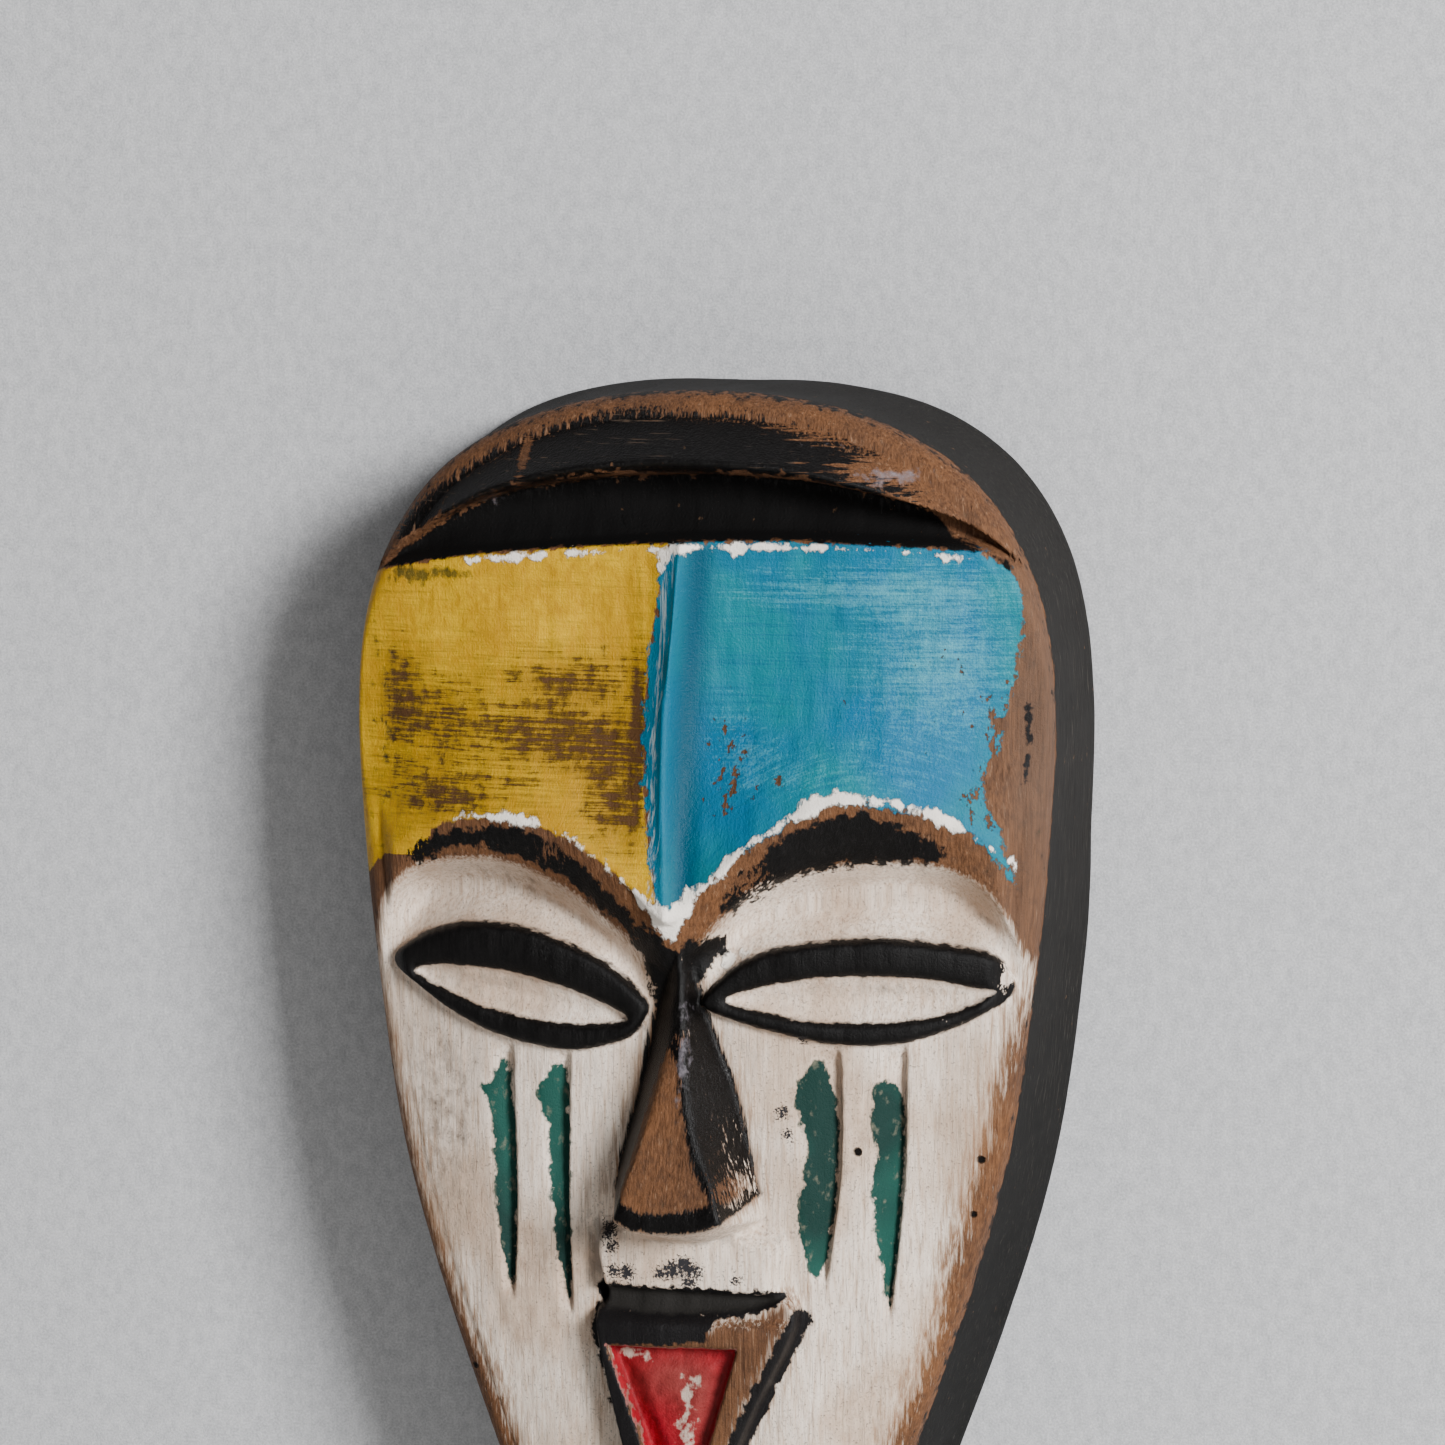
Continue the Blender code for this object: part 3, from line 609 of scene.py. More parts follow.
# %% Outlines of the coats
WHITE_FACE = smooth_curve([(74.5, -121), (72, -129), (68.7, -140), (66, -151.5), (63, -163.5),
                           (59.5, -178), (56.5, -187), (53, -204), (43, -229), (34, -251),
                           (21, -277), (7, -292), (-7, -292), (-21, -276), (-32, -252), (-41, -231),
                           (-47, -216), (-54.5, -200), (-61.5, -179.6), (-68, -154.8), (-71, -141),
                           (-74.5, -128.6), (-73, -111), (-66.5, -102.5), (-57, -99), (-43, -98.5),
                           (-29, -103.8), (-20, -110), (-11, -117.5), (-3, -127), (3, -116),
                           (14.5, -104), (24, -99.3), (37, -96.8), (49, -96.2), (61.5, -99),
                           (70, -107)], True)
PAINT_RIDGE = [(-4, -26), (-6, -34), (-8.6, -48), (-9.8, -62), (-9.6, -80), (-7.8, -93), (-5, -106)]
YELLOW = np.array(PAINT_RIDGE + [(-8, -105.5), (-13, -101.5), (-24, -93.3), (-34, -89.4), (-47, -88.4),
                                 (-55, -89.6), (-65, -93), (-73, -99), (-86, -112), (-90, -60),
                                 (-84, -38.5), (-72, -33.8), (-60, -31.3), (-48, -29.5), (-21, -27)])
BLUE = np.array(PAINT_RIDGE + [(-3, -110), (4, -103.5), (13, -94.7), (24, -87.2), (32, -83.6), (41, -82.7),
                               (52, -84.4), (64, -89.6), (70, -96), (72, -101), (71, -92), (67, -83),
                               (66, -77), (69.5, -71), (70.5, -62), (72, -54), (73.4, -46), (73.4, -38),
                               (71.5, -31), (65, -27), (47, -25.6), (22, -25.1), (0, -25.6)])
COVE_BLACK = np.array([(-73, -34), (-68, -29), (-56, -21), (-42, -15.5), (-20, -12), (3, -11),
                       (26, -12.3), (44, -15.8), (53, -19), (58, -24), (70, -29), (73, -33), (65, -27),
                       (22, -25.1), (0, -25.6), (-21, -27), (-48, -29.5), (-60, -31.3), (-72, -33.8)])
BAND_BLACK = smooth_curve([(-76, -33), (-66, -27), (-46, -17.5), (-20, -12.5), (3, -11.5), (26, -13),
                           (44, -17), (54, -19), (52, -12), (42, -7), (28, -2), (12, 1.4), (0, 2),
                           (-16, 2.5), (-30, -0.5), (-44, -6), (-58, -14), (-70, -24)], True, 6)
LEFT_BROW = smooth_curve([(-66.5, -99), (-62, -95), (-54, -91.6), (-44, -90.2), (-36, -91.4),
                          (-27, -95.4), (-18, -103), (-8, -113), (-2, -117), (-6, -121),
                          (-12, -114.5), (-21, -107), (-30, -100.5), (-42, -96), (-55, -96),
                          (-63, -100)], True, 6)
RIGHT_BROW = smooth_curve([(58, -93), (49, -87.6), (38, -84.8), (29, -87), (22, -90.8), (16, -96.6),
                           (11, -102), (8, -108), (15, -105), (22, -100.6), (32, -97.8), (44, -96.6),
                           (54, -95.6)], True, 6)
BROW_MIDDLE = smooth_curve([(-13, -110), (-6, -113), (-2, -116), (3, -114.5), (7, -114), (7.5, -118),
                            (4.5, -122), (3, -126), (1.5, -134), (-4.5, -134), (-8, -127),
                            (-11, -118)], True, 6)
NOSE_FACET = smooth_curve([(-2.4, -137.5), (0.4, -141.5), (1.4, -147), (2.6, -154), (4.6, -161),
                           (7, -167), (9.4, -171), (4, -172.8), (-4, -174), (-9.4, -173), (-12.4, -170),
                           (-11, -164), (-9, -156), (-6.2, -147), (-4.4, -141)], True, 6)
LIP_BLACK = np.array([(-22, -198), (-2, -198.6), (8, -198.8), (5, -204.5), (-6, -206.3), (-17.8, -206.8),
                      (-13.4, -218.5), (-9.6, -229), (-2, -250), (2, -250), (3, -256), (-1, -263),
                      (-6, -257), (-16, -230), (-23, -204)])
LIP_EDGE = np.array([(25.8, -199.5), (12.6, -227), (5, -250), (-1, -262)])
BAND_CREST = np.array([(-68, -28), (-56, -20.5), (-42, -14.8), (-20, -11), (3, -10.2), (26, -11.4),
                       (44, -14.6), (54, -18)])
RIM_DASHES = np.array([(74.8, -62), (75.2, -68), (74.4, -78)])

print("lines of the coats, in points:", len(WHITE_FACE), len(YELLOW), len(BLUE), len(BAND_BLACK))

# %% [markdown]
# ## The coats as numbers
# Most coats are simply how deep a point lies in one outline. The nose and the lips are black except for a
# worn wooden facet, so those take the lower or the higher of several distances, which cuts one shape out
# of another as a stencil does.

# %% How far each front point lies inside each coat
x, z = front_x, front_z
crisp_sockets = 1 + 2.2 * ease(z, -122, -112)
coats = {"white": inside(x, z, WHITE_FACE) * crisp_sockets}
coats["blue"] = inside(x, z, BLUE)
coats["red"] = inside(x, z, RED_RECESS)
coats["yellow"] = np.where((x < -60) & (z < -40) & (z > -98), 3.0, inside(x, z, YELLOW))
coats["cove"] = inside(x, z, COVE_BLACK)
coats["band"] = inside(x, z, BAND_BLACK)
coats["brow"] = np.maximum.reduce([inside(x, z, line) for line in (LEFT_BROW, RIGHT_BROW, BROW_MIDDLE)])
coats["lid"] = np.maximum(np.minimum(inside(x, z, LEFT_LID), -inside(x, z, LEFT_EYE)),
                          np.minimum(inside(x, z, RIGHT_LID), -inside(x, z, RIGHT_EYE)))
nose_plan = np.minimum(x - across(z, NOSE_LEFT), across(z, NOSE_RIGHT) - x)
nose_plan = np.minimum(nose_plan, z - level(x, NOSE_FOOT))
nose_plan = np.where(z > -124, -FAR, np.clip(nose_plan, -FAR, FAR))
coats["nose"] = np.minimum(nose_plan, 0.4 - inside(x, z, NOSE_FACET))
below_cove = np.interp(x, [0, 17, 23], [-199.5, -197, -193.5]) - z
mouth_wood = np.minimum(inside(x, z, MUZZLE), below_cove)
coats["white"] = np.minimum(coats["white"], -np.maximum(nose_plan, mouth_wood))
coats["lip_cove"] = inside(x, z, LIP_COVE) - 1.0
coats["mouth"] = np.maximum.reduce([inside(x, z, LIP_COVE), inside(x, z, LIP_BLACK),
                                    2.1 - distance_to_line(x, z, LIP_EDGE)])
GREEN_STROKES = [
    [(-43.5, -144.5), (-46.5, -148.3), (-49, -151), (-46.6, -156), (-45.9, -169), (-45, -185),
     (-42.4, -196), (-41.4, -188), (-41.2, -160)],
    [(-29, -145), (-32, -145.4), (-35.3, -151), (-33.2, -158.6), (-32.6, -170), (-31.5, -184),
     (-28.6, -199), (-27.8, -188), (-28, -158)],
    [(31.4, -143), (27.7, -142.7), (24.3, -149.5), (26.8, -161), (25.1, -175), (26.1, -184.5),
     (29.4, -191), (32.2, -179), (33.6, -158)],
    [(47, -147), (42.2, -146.6), (41.4, -154), (42.3, -161), (41.3, -169), (42.4, -181), (44.8, -197),
     (46.9, -182), (48.1, -158)],
]
coats["green"] = np.maximum.reduce([inside(x, z, smooth_curve(line, True, 6)) for line in GREEN_STROKES])
print("coats on the front:", ", ".join(coats))

# %% [markdown]
# ## Dabs, flecks and worm holes
# White dabs were put on along the brow and the top edge of the panels. Their width changes along the
# line, so each line of dabs is a list of places and half widths, made lumpy by a little unevenness.
# Flecks of black, chips and insect holes are round spots.

# %% White dabs along the brow and along the top of the panels
BROW_DABS = np.array([(-58, -0.4), (-46, 0.4), (-36, 0.7), (-30, 0.2), (-22, -0.2), (-14, 0.3), (-8, 1.4),
                      (-3, 2.3), (2, 1.6), (9, 0.8), (20, 0.6), (28, 1.5), (36, 1.0), (44, 0.3),
                      (52, 1.2), (60, 1.4), (67, 0.7), (73, 0.1)])
TOP_DABS = np.array([(-60, -1), (-50, 0.2), (-44, 0.7), (-36, 0.8), (-28, 0.1), (-12, -0.6), (-6, 0.7),
                     (0, 1.0), (8, 1.0), (18, 1.1), (26, 0.5), (36, -0.4), (50, -0.2), (57, 0.8),
                     (64, 0.2), (70, -1)])
above_brow = z - level(x, PANEL_FOOT) - np.interp(x, [-10, 0, 20, 30, 66], [0.3, 0.2, 0.8, 1.4, 0.2])
tilt = np.interp(x, [-75, -50, -25, -12, -4, 2, 8, 22, 45, 75],
                 [0.6, 1, 0.8, 0.6, 0.5, 0.5, 0.65, 0.8, 1, 0.6])
fullness = 0.9 * uneven(x, 0 * z, 4.5, 1, 31) + 0.5 * uneven(x, 0 * z, 1.7, 1, 32) - 0.15
brow_dabs = np.interp(x, *BROW_DABS.T, left=-2, right=-2) + fullness - np.abs(above_brow) * tilt
below_top = level(x, PANEL_TOP) - z - np.interp(x, [-60, -40, -10, 50, 60], [1.0, 1.4, 1.5, 1.6, 2.4])
top_dabs = np.interp(x, *TOP_DABS.T, left=-2, right=-2) + fullness - np.abs(below_top)
BLACK_FLECKS = [(-5.6, -189.8, 1.2), (-2.8, -188.9, 1.8), (0, -188, 2.1), (2.4, -189, 1.6),
                (1.2, -191.4, 1.3), (-16.6, -190, 1.3), (-13.4, -190.2, 1.7), (-17.8, -181, 1.7),
                (-17, -184.4, 1.2), (21.5, -153, 1.2), (22.6, -158, 0.9), (26, -136, 0.8),
                (12, -190.6, 0.9)]
CHIPS = [(-33, -119.3, 1.1), (-35.8, -118.4, 0.6), (8.5, -119.4, 1.6), (12, -118, 1.0), (-16, -22, 0.9),
         (-5, -28.6, 1.7), (-6.4, -31.4, 0.9)]
WORM_HOLES = [(38.3, -161.5, 0.9), (65.1, -163.3, 0.8), (63.4, -175.8, 0.7), (-52, -216, 0.7)]


def dots(spots):
    """Distance inside the nearest of a few round spots, each (x, z, radius)."""
    return np.maximum.reduce([radius - np.hypot(x - px, z - pz) for px, pz, radius in spots])


coats["dabs"] = np.clip(np.maximum.reduce([brow_dabs, top_dabs, dots(CHIPS)]), -FAR, FAR)
coats["holes"] = np.clip(dots(WORM_HOLES), -FAR, FAR)
rim_dashes = 0.5 - distance_to_line(x, z, RIM_DASHES) + 0.8 * uneven(0 * x, z, 3.0, 1, 33)
coats["mouth"] = np.maximum.reduce([coats["mouth"], np.clip(rim_dashes, -FAR, FAR)])
coats["flecks"] = np.clip(dots(BLACK_FLECKS), -FAR, FAR)
panel_height = level(x, PANEL_TOP) - level(x, PANEL_FOOT)
coats["sweep"] = 64 * (z - level(x, PANEL_FOOT)) / panel_height
print("dab points", len(BROW_DABS) + len(TOP_DABS))


# %% [markdown]
# ## Where hands, cloths and years have worn the paint
# Wear isn't spread evenly: it sits on the ridges, the ends of the band and where the mask was rubbed.
# Soft oval patches from 0 to 1 say how worn each place is, and a noise later breaks them into chips.
# Some maps also hold painted light: the dirt maps carry painted shade, one map is a painted sheen, and
# the rubbed patch on the blue is partly a painted sheen.

# %% Wear, dirt, painted shade and painted sheen
def patches(*spots):
    """The sum of soft ovals, each (strength, x, z, half width, half height), held to 0 to 1."""
    total = 0
    for strength, px, pz, wide, tall in spots:
        total = total + strength * np.exp(-((x - px) / wide) ** 2 - ((z - pz) / tall) ** 2)
    return np.clip(total, 0, 1)


crest_line = np.exp(-(distance_to_line(x, z, BAND_CREST) / 1.7) ** 2)
wear = {
    "yellow_worn": patches((0.75, -28, -57, 18, 6), (0.85, -32, -70, 22, 8), (0.6, -61, -66, 12, 12),
                           (0.8, -17, -84, 7, 12), (0.8, -11.5, -72, 2, 24), (0.75, -56, -84, 22, 6),
                           (0.5, -70, -60, 5, 16)),
    "blue_worn": patches((0.95, 70, -70, 5, 15), (1, 66, -81, 5, 7), (0.85, 8, -76, 6, 14),
                         (0.55, 33, -59, 6, 2), (0.5, 22, -79, 10, 5), (0.45, 56, -56, 16, 14)),
    # Partly real rubbing, partly a painted sheen on the right of the blue.
    "rubbed_and_sheen": patches((1, 56, -52, 18, 20), (0.8, 36, -36, 34, 5), (0.5, 30, -76, 22, 7),
                      (0.5, 10, -70, 9, 12)),
    # Painted sheen: pale highlights on the band and down the nose's ridge.
    "painted_sheen": patches((1, 45, -10.5, 9, 2.6), (0.7, -46, -18, 5, 2), (0.5, 30, -4, 8, 2),
                       (0.95, 1.2, -140, 1.8, 15)),
    "nose_worn": patches((0.75, 13, -169, 5, 4), (0.6, 0, -136, 3, 4), (0.35, 10, -158, 5, 10)),
    "band_worn": patches((0.9, 58, -12, 12, 8), (1, 72, -24, 12, 12), (0.8, 42, -9, 12, 3),
                         (0.9, -38.5, -7, 1.6, 5), (0.9, -74, -26, 6, 9), (0.5, 30, -1, 14, 3)),
    "crest_worn": (0.6 + 0.4 * uneven(x, z, 9, 2, 34)) * crest_line,
    # Stains, and painted shade under the brows and over the left cheek.
    "soiled_and_shaded": patches((0.8, -58, -160, 14, 46), (0.9, -42, -104, 30, 7), (0.8, 62, -150, 9, 40),
                      (0.5, 44, -104, 22, 4), (0.7, -2, -250, 30, 26), (0.5, 20, -176, 12, 16)),
    "weathered": patches((1, 77, -66, 8, 46), (0.5, 66, -112, 8, 12), (0.4, -66, -112, 8, 10)),
    "smudged": patches((1, -66, -35, 7, 2.4), (0.9, -55, -34.5, 6, 1.4), (0.6, -73, -70, 3, 26)),
    "brow_worn": patches((1, 66, -97, 10, 10), (1, -70, -100, 7, 9), (0.7, -30, -95, 6, 4),
                         (0.8, 14, -100, 6, 6)),
    "lid_worn": patches((1, 71.5, -122, 4, 5), (0.5, 60, -131, 10, 2.5), (0.5, -30, -114, 3, 2),
                        (0.35, 13, -199, 12, 6)),
    "red_worn": patches((1, -13, -208.5, 4, 1.6), (0.7, -8, -210, 5, 1.4), (0.75, 2, -213, 3, 2),
                        (1, 0, -226, 3.4, 8), (0.8, 1, -217, 2.4, 3)),
    "red_rubbed": patches((1, -2, -214, 10, 6), (0.7, 3, -222, 4, 8)),
    # Dirt, and painted shade under and beside the nose, beside the mouth block, under the brows and lids.
    "grime_and_shade": patches((1, -8, -140, 4, 18), (0.8, 0, -181, 24, 3), (1, -22, -188, 3, 12),
                     (0.6, -60, -160, 12, 30), (0.8, -2, -190, 9, 3), (0.5, 14, -140, 6, 6),
                     (0.6, -40, -126, 20, 2.6), (0.6, 38, -124.5, 26, 2.6), (0.5, -40, -104, 26, 4)),
}
on_forehead = ease(-z, 24, 28) * ease(z - level(x, PANEL_FOOT), -0.5, 1.0)
wear["ridge"] = np.exp(-(((x - across(z, RIDGE) + 2.5) / 2.4) ** 2)) * on_forehead
wear["valley"] = np.exp(-(((x - across(z, RIDGE) - 4) / 4.0) ** 2)) * on_forehead
print("wear maps:", ", ".join(wear))

# %% [markdown]
# ## The side wall's black
# The black of the side comes just over the front edge, and the yellow wraps round the left edge onto the
# side. Past the front, a point is measured down the wall instead of in from the edge. Then every coat and
# every wear map becomes a number on the mesh's points, which the material can read by name.

# %% The side wall's black, and where the yellow wraps round the left edge
past_edge = np.interp(rim[:, 0], [-76, -40, 0, 40, 70, 80], [0.2, 0.4, 0.4, 0.2, -0.6, -0.9])
left_wrap = ease(-rim[:, 0], 60, 74) * ease(-rim[:, 1], 36, 44) * ease(rim[:, 1], -104, -96)
wrap_edge = 1 + 0.7 * uneven(0 * rim[:, 0], rim[:, 1], 5, 1, 35)
past_edge = past_edge - 3.0 * left_wrap * wrap_edge
coats["wall"] = np.clip(past_edge - front_inset, -FAR, FAR)
inside_rim = (1 - back_reach) * reach_length
beyond = {
    "wall": np.vstack([np.clip(past_edge + WALL_TOP - wall_h, -FAR, FAR), 2.5 - inside_rim]),
    "yellow": np.vstack([(left_wrap > 0.05) * (FAR + 4.0) - FAR + 0 * wall_h, back_h * 0 - FAR]),
}
for name, values in {**coats, **wear}.items():
    nothing = 0.0 if name in wear else -FAR
    rest = beyond.get(name, np.full((rows - FRONT_RINGS, AROUND), nothing))
    layer = mesh.attributes.new(name, "FLOAT", "POINT")
    layer.data.foreach_set("value", np.vstack([values, rest]).ravel().astype(np.float32))
print("numbers kept on each point:", len(coats) + len(wear))

# %% [markdown]
# ## One closed skin
# The first and the last ring lie folded along the middle line, so their points meet in pairs and are
# merged. What's left is one closed skin, which has a true volume. Each face gets one of three finishes:
# the painted front, the charcoal side or the bare back. The carving then rides on the mask's body.

# %% Close the skin along the middle line, and put the carving on its body
import bmesh

skin = bmesh.new()
skin.from_mesh(mesh)
first_side_face = (FRONT_RINGS - 1) * AROUND
first_back_face = first_side_face + WALL_RINGS * AROUND
skin.faces.index_update()
for face in skin.faces:
    face.smooth = True
    face.material_index = 2 if face.index >= first_back_face else int(face.index >= first_side_face)
bmesh.ops.remove_doubles(skin, verts=skin.verts, dist=1e-6)
bmesh.ops.dissolve_degenerate(skin, edges=skin.edges, dist=1e-7)
open_edges = sum(1 for edge in skin.edges if len(edge.link_faces) != 2)
litres = skin.calc_volume(signed=True) * 1000
skin.to_mesh(mesh)
skin.free()
carving = bpy.data.objects.new("mask_carving", mesh)
bpy.context.scene.collection.objects.link(carving)
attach(carving, "mask")
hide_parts("mask_body")
print("closed skin:", open_edges == 0, "wood in litres", round(litres, 2))

# %% [markdown]
# ## Building materials from nodes
# Paint is built up as on the bench: a surface has a colour, a roughness and a height, and each coat is
# laid over it through a mask. One small function adds any node, so a material reads as a list of steps.

# %% A function that adds a node, and colours
def node(tree, kind, inputs, output=0, **settings):
    """Add a shader node, set it up, set or link its sockets, and give back one of its outputs."""
    made = tree.nodes.new("ShaderNode" + kind)
    for name, setting in settings.items():
        setattr(made, name, setting)
    for socket, value in inputs.items():
        if isinstance(value, bpy.types.NodeSocket):
            tree.links.new(value, made.inputs[socket])
        else:
            made.inputs[socket].default_value = value
    return made.outputs[output] if made.outputs else made


def colour(hex_text):
    """An sRGB hex colour as the linear colour that shaders mix."""
    parts = [int(hex_text[k:k + 2], 16) / 255 for k in (1, 3, 5)]
    return [p / 12.92 if p <= 0.04045 else ((p + 0.055) / 1.055) ** 2.4 for p in parts] + [1.0]


print("mid grey is", round(colour("#808080")[0], 3), "in linear light")

# %% [markdown]
# ## Patterns and how a coat is laid
# Every irregular thing on the mask, from wood grain to chips, comes from noise stretched to a real size.
# A coat is ragged because noise is added to its depth before the cut-off, and worn because noise is added
# to the wear. One short function lays a coat, so the materials below can be read from the wood upwards.

# %% Patterns, as bumps per millimetre across, into the wall and up, with detail and roughness
PATTERNS = {
    "grain": ((2.0, 2.0, 0.06), 4, 0.65),     # growth lines 0.5 mm apart, many centimetres long
    "streak": ((1.3, 1.3, 0.09), 5, 0.7),     # strokes of a dry brush, 0.8 mm wide and 11 mm long
    "brush": ((0.05, 0.3, 1.5), 4, 0.7),      # brush hairs 0.6 mm apart, drawn across the forehead
    "chip": ((0.42, 0.42, 0.3), 6, 0.62),     # flakes of 1 to 4 mm
    "tooth": ((1.9, 1.9, 1.9), 5, 0.6),       # the tooth of dry paint, drawn at 0.5 mm to show
    "cloud": ((0.045, 0.045, 0.035), 3, 0.5),  # handling marks over 2 to 4 cm
}


def lay_out_patterns(tree):
    """All the patterns, as sockets by name, measured in millimetres on the object."""
    place = node(tree, "TexCoord", {}, "Object")
    place = node(tree, "VectorMath", {0: place, 1: (1000, 1000, 1000)}, operation="MULTIPLY")
    found = {}
    for name, (scale, detail, rough) in PATTERNS.items():
        stretched = node(tree, "VectorMath", {0: place, 1: scale}, operation="MULTIPLY")
        found[name] = node(tree, "TexNoise", {"Vector": stretched, "Scale": 1.0, "Detail": detail,
                                              "Roughness": rough})
    return found


def drift(tree, pattern, low, high, dark, light):
    """A colour that goes from dark to light as a pattern goes from low to high."""
    share = node(tree, "MapRange", {0: pattern, 1: low, 2: high})
    dark = colour(dark) if isinstance(dark, str) else dark
    light = colour(light) if isinstance(light, str) else light
    return node(tree, "Mix", {0: share, 6: dark, 7: light}, 2, data_type="RGBA")


def broken_up(tree, name, *patterns):
    """A number kept on the mesh, with patterns added to it, each (pattern, strength)."""
    amount = node(tree, "Attribute", {}, "Fac", attribute_name=name)
    for pattern, strength in patterns:
        amount = node(tree, "Math", {0: pattern, 1: strength, 2: amount}, operation="MULTIPLY_ADD")
    return amount


def coat_mask(tree, outline, pattern, reach, soft=0.25):
    """1 inside a coat's outline; the pattern moves the edge by up to about a third of reach, in mm."""
    edge = broken_up(tree, outline, (pattern, reach))
    return node(tree, "MapRange", {0: edge, 1: reach / 2 - soft, 2: reach / 2 + soft})


def wear_off(tree, mask, worn, pattern, bite=3.0, start=0.75, soft=0.08):
    """Take chips out of a coat where the worn map is high and the pattern bites."""
    depth = broken_up(tree, worn, (pattern, bite))
    left = node(tree, "MapRange", {0: depth, 1: start + bite / 2, 2: start + bite / 2 + soft, 3: 1, 4: 0})
    return node(tree, "Math", {0: mask, 1: left}, operation="MULTIPLY")


FILLING = 0.6  # how much of the grain one coat fills


def lay(tree, surface, mask, paint, roughness, thickness=0.0):
    """The surface with a coat over it where the mask is 1; it fills some of the grain below it.
    The thickness is in millimetres."""
    paint = colour(paint) if isinstance(paint, str) else paint
    below, rough_below, height = surface
    over = node(tree, "Mix", {0: mask, 6: below, 7: paint}, 2, data_type="RGBA")
    rough = node(tree, "Mix", {0: mask, 2: rough_below, 3: roughness}, data_type="FLOAT")
    filled = node(tree, "Math", {0: height, 1: 1 - FILLING, 2: thickness}, operation="MULTIPLY_ADD")
    height = node(tree, "Mix", {0: mask, 2: height, 3: filled}, data_type="FLOAT")
    return over, rough, height


def finish_material(tree, surface, shine):
    """Send the surface to the shader; the bump's distance turns millimetres into metres."""
    paint, rough, height = surface
    normal = node(tree, "Bump", {"Strength": 1.0, "Distance": MM, "Height": height})
    shader = node(tree, "BsdfPrincipled", {"Base Color": paint, "Roughness": rough, "Normal": normal,
                                           "IOR": 1.5, "Specular IOR Level": shine})
    node(tree, "OutputMaterial", {"Surface": shader})


def new_material(name):
    """An empty node material."""
    made = bpy.data.materials.new(name)
    made.use_nodes = True
    made.node_tree.nodes.clear()
    return made


print("patterns:", ", ".join(PATTERNS))

# %% [markdown]
# ## Bare wood
# The block is a mid-brown tropical hardwood, cut with an adze and rubbed. It is matt, with fine dark
# pores along the grain. The same wood shows on the back and through every worn place, so both materials
# start from this one surface.

# %% Bare carved hardwood
def bare_wood(tree, found):
    """Brown wood with light flecks, smoky stains and dark pores, as a surface to paint on."""
    paint = drift(tree, found["grain"], 0.36, 0.66, "#33231A", "#7C573D")
    warm = drift(tree, found["cloud"], 0.35, 0.7, "#5E3D27", "#7C4F2C")
    paint = node(tree, "Mix", {0: 0.45, 6: paint, 7: warm}, 2, data_type="RGBA")
    fleck = node(tree, "MapRange", {0: found["streak"], 1: 0.3, 2: 0.42, 3: 0.5, 4: 0.0})
    paint = node(tree, "Mix", {0: fleck, 6: paint, 7: colour("#A78468")}, 2, data_type="RGBA")
    smoke = node(tree, "MapRange", {0: found["chip"], 1: 0.5, 2: 0.68, 4: 0.5})
    paint = node(tree, "Mix", {0: smoke, 6: paint, 7: colour("#3B2A20")}, 2, data_type="RGBA")
    pore = node(tree, "MapRange", {0: found["streak"], 1: 0.6, 2: 0.72, 4: 0.8})
    height = node(tree, "Math", {0: found["grain"], 1: 0.28}, operation="MULTIPLY")
    return lay(tree, (paint, 0.62, height), pore, "#2E1D12", 0.75, -0.08)


back_wood = new_material("bare_carved_hardwood")
tree = back_wood.node_tree
found = lay_out_patterns(tree)
surface = bare_wood(tree, found)
slop = coat_mask(tree, "wall", found["chip"], 14, 0.4)
surface = lay(tree, surface, slop, "#1B1A1A", 0.6, 0.05)
finish_material(tree, surface, 0.3)
print("nodes in the bare wood:", len(tree.nodes))

# %% [markdown]
# ## Charcoal on the side wall
# One thick coat of lamp black goes round the side and just over the arris. It is porous, so it has
# little shine, and the block has picked up fine pale scratches that run down it. Lower down, the black
# is made darker: that is painted shade.

# %% Charcoal side wall
side_paint = new_material("charcoal_on_hardwood")
tree = side_paint.node_tree
found = lay_out_patterns(tree)
surface = bare_wood(tree, found)
ochre = coat_mask(tree, "yellow", found["chip"], 4)
surface = lay(tree, surface, ochre, "#7E6422", 0.6, 0.1)
charcoal = drift(tree, found["streak"], 0.35, 0.65, "#171615", "#2A2826")
height_up = node(tree, "SeparateXYZ", {0: node(tree, "TexCoord", {}, "Object")}, 2)
# Painted shade: the side's black grows darker towards the bottom, where less light reaches it.
painted_shade_low = node(tree, "MapRange", {0: height_up, 1: -0.08, 2: -0.2, 4: 0.85})
charcoal = node(tree, "Mix", {0: painted_shade_low, 6: charcoal, 7: colour("#0C0C0B")}, 2, data_type="RGBA")
wall_mask = coat_mask(tree, "wall", found["chip"], 8, 0.4)
surface = lay(tree, surface, wall_mask, charcoal, 0.7, 0.2)
scratch = node(tree, "MapRange", {0: found["streak"], 1: 0.57, 2: 0.66, 4: 0.6})
surface = lay(tree, surface, scratch, "#4F4A45", 0.7, -0.3)
nick = node(tree, "MapRange", {0: found["chip"], 1: 0.68, 2: 0.7, 4: 0.8})
surface = lay(tree, surface, nick, "#6E5340", 0.7, -0.1)
finish_material(tree, surface, 0.1)
print("nodes in the side's charcoal:", len(tree.nodes))

# %% [markdown]
# ## The painted front, coat by coat
# First comes a chalky white ground, brushed down the face and thin near its edges, so the wood shows
# through in long soft streaks. It is lime or kaolin white: dead matt, with a tooth that holds grey dirt.
# The stains and dirt laid over it also carry painted shade: under the brows, the lids and the nose,
# beside the nose and the mouth block, and over the left cheek.

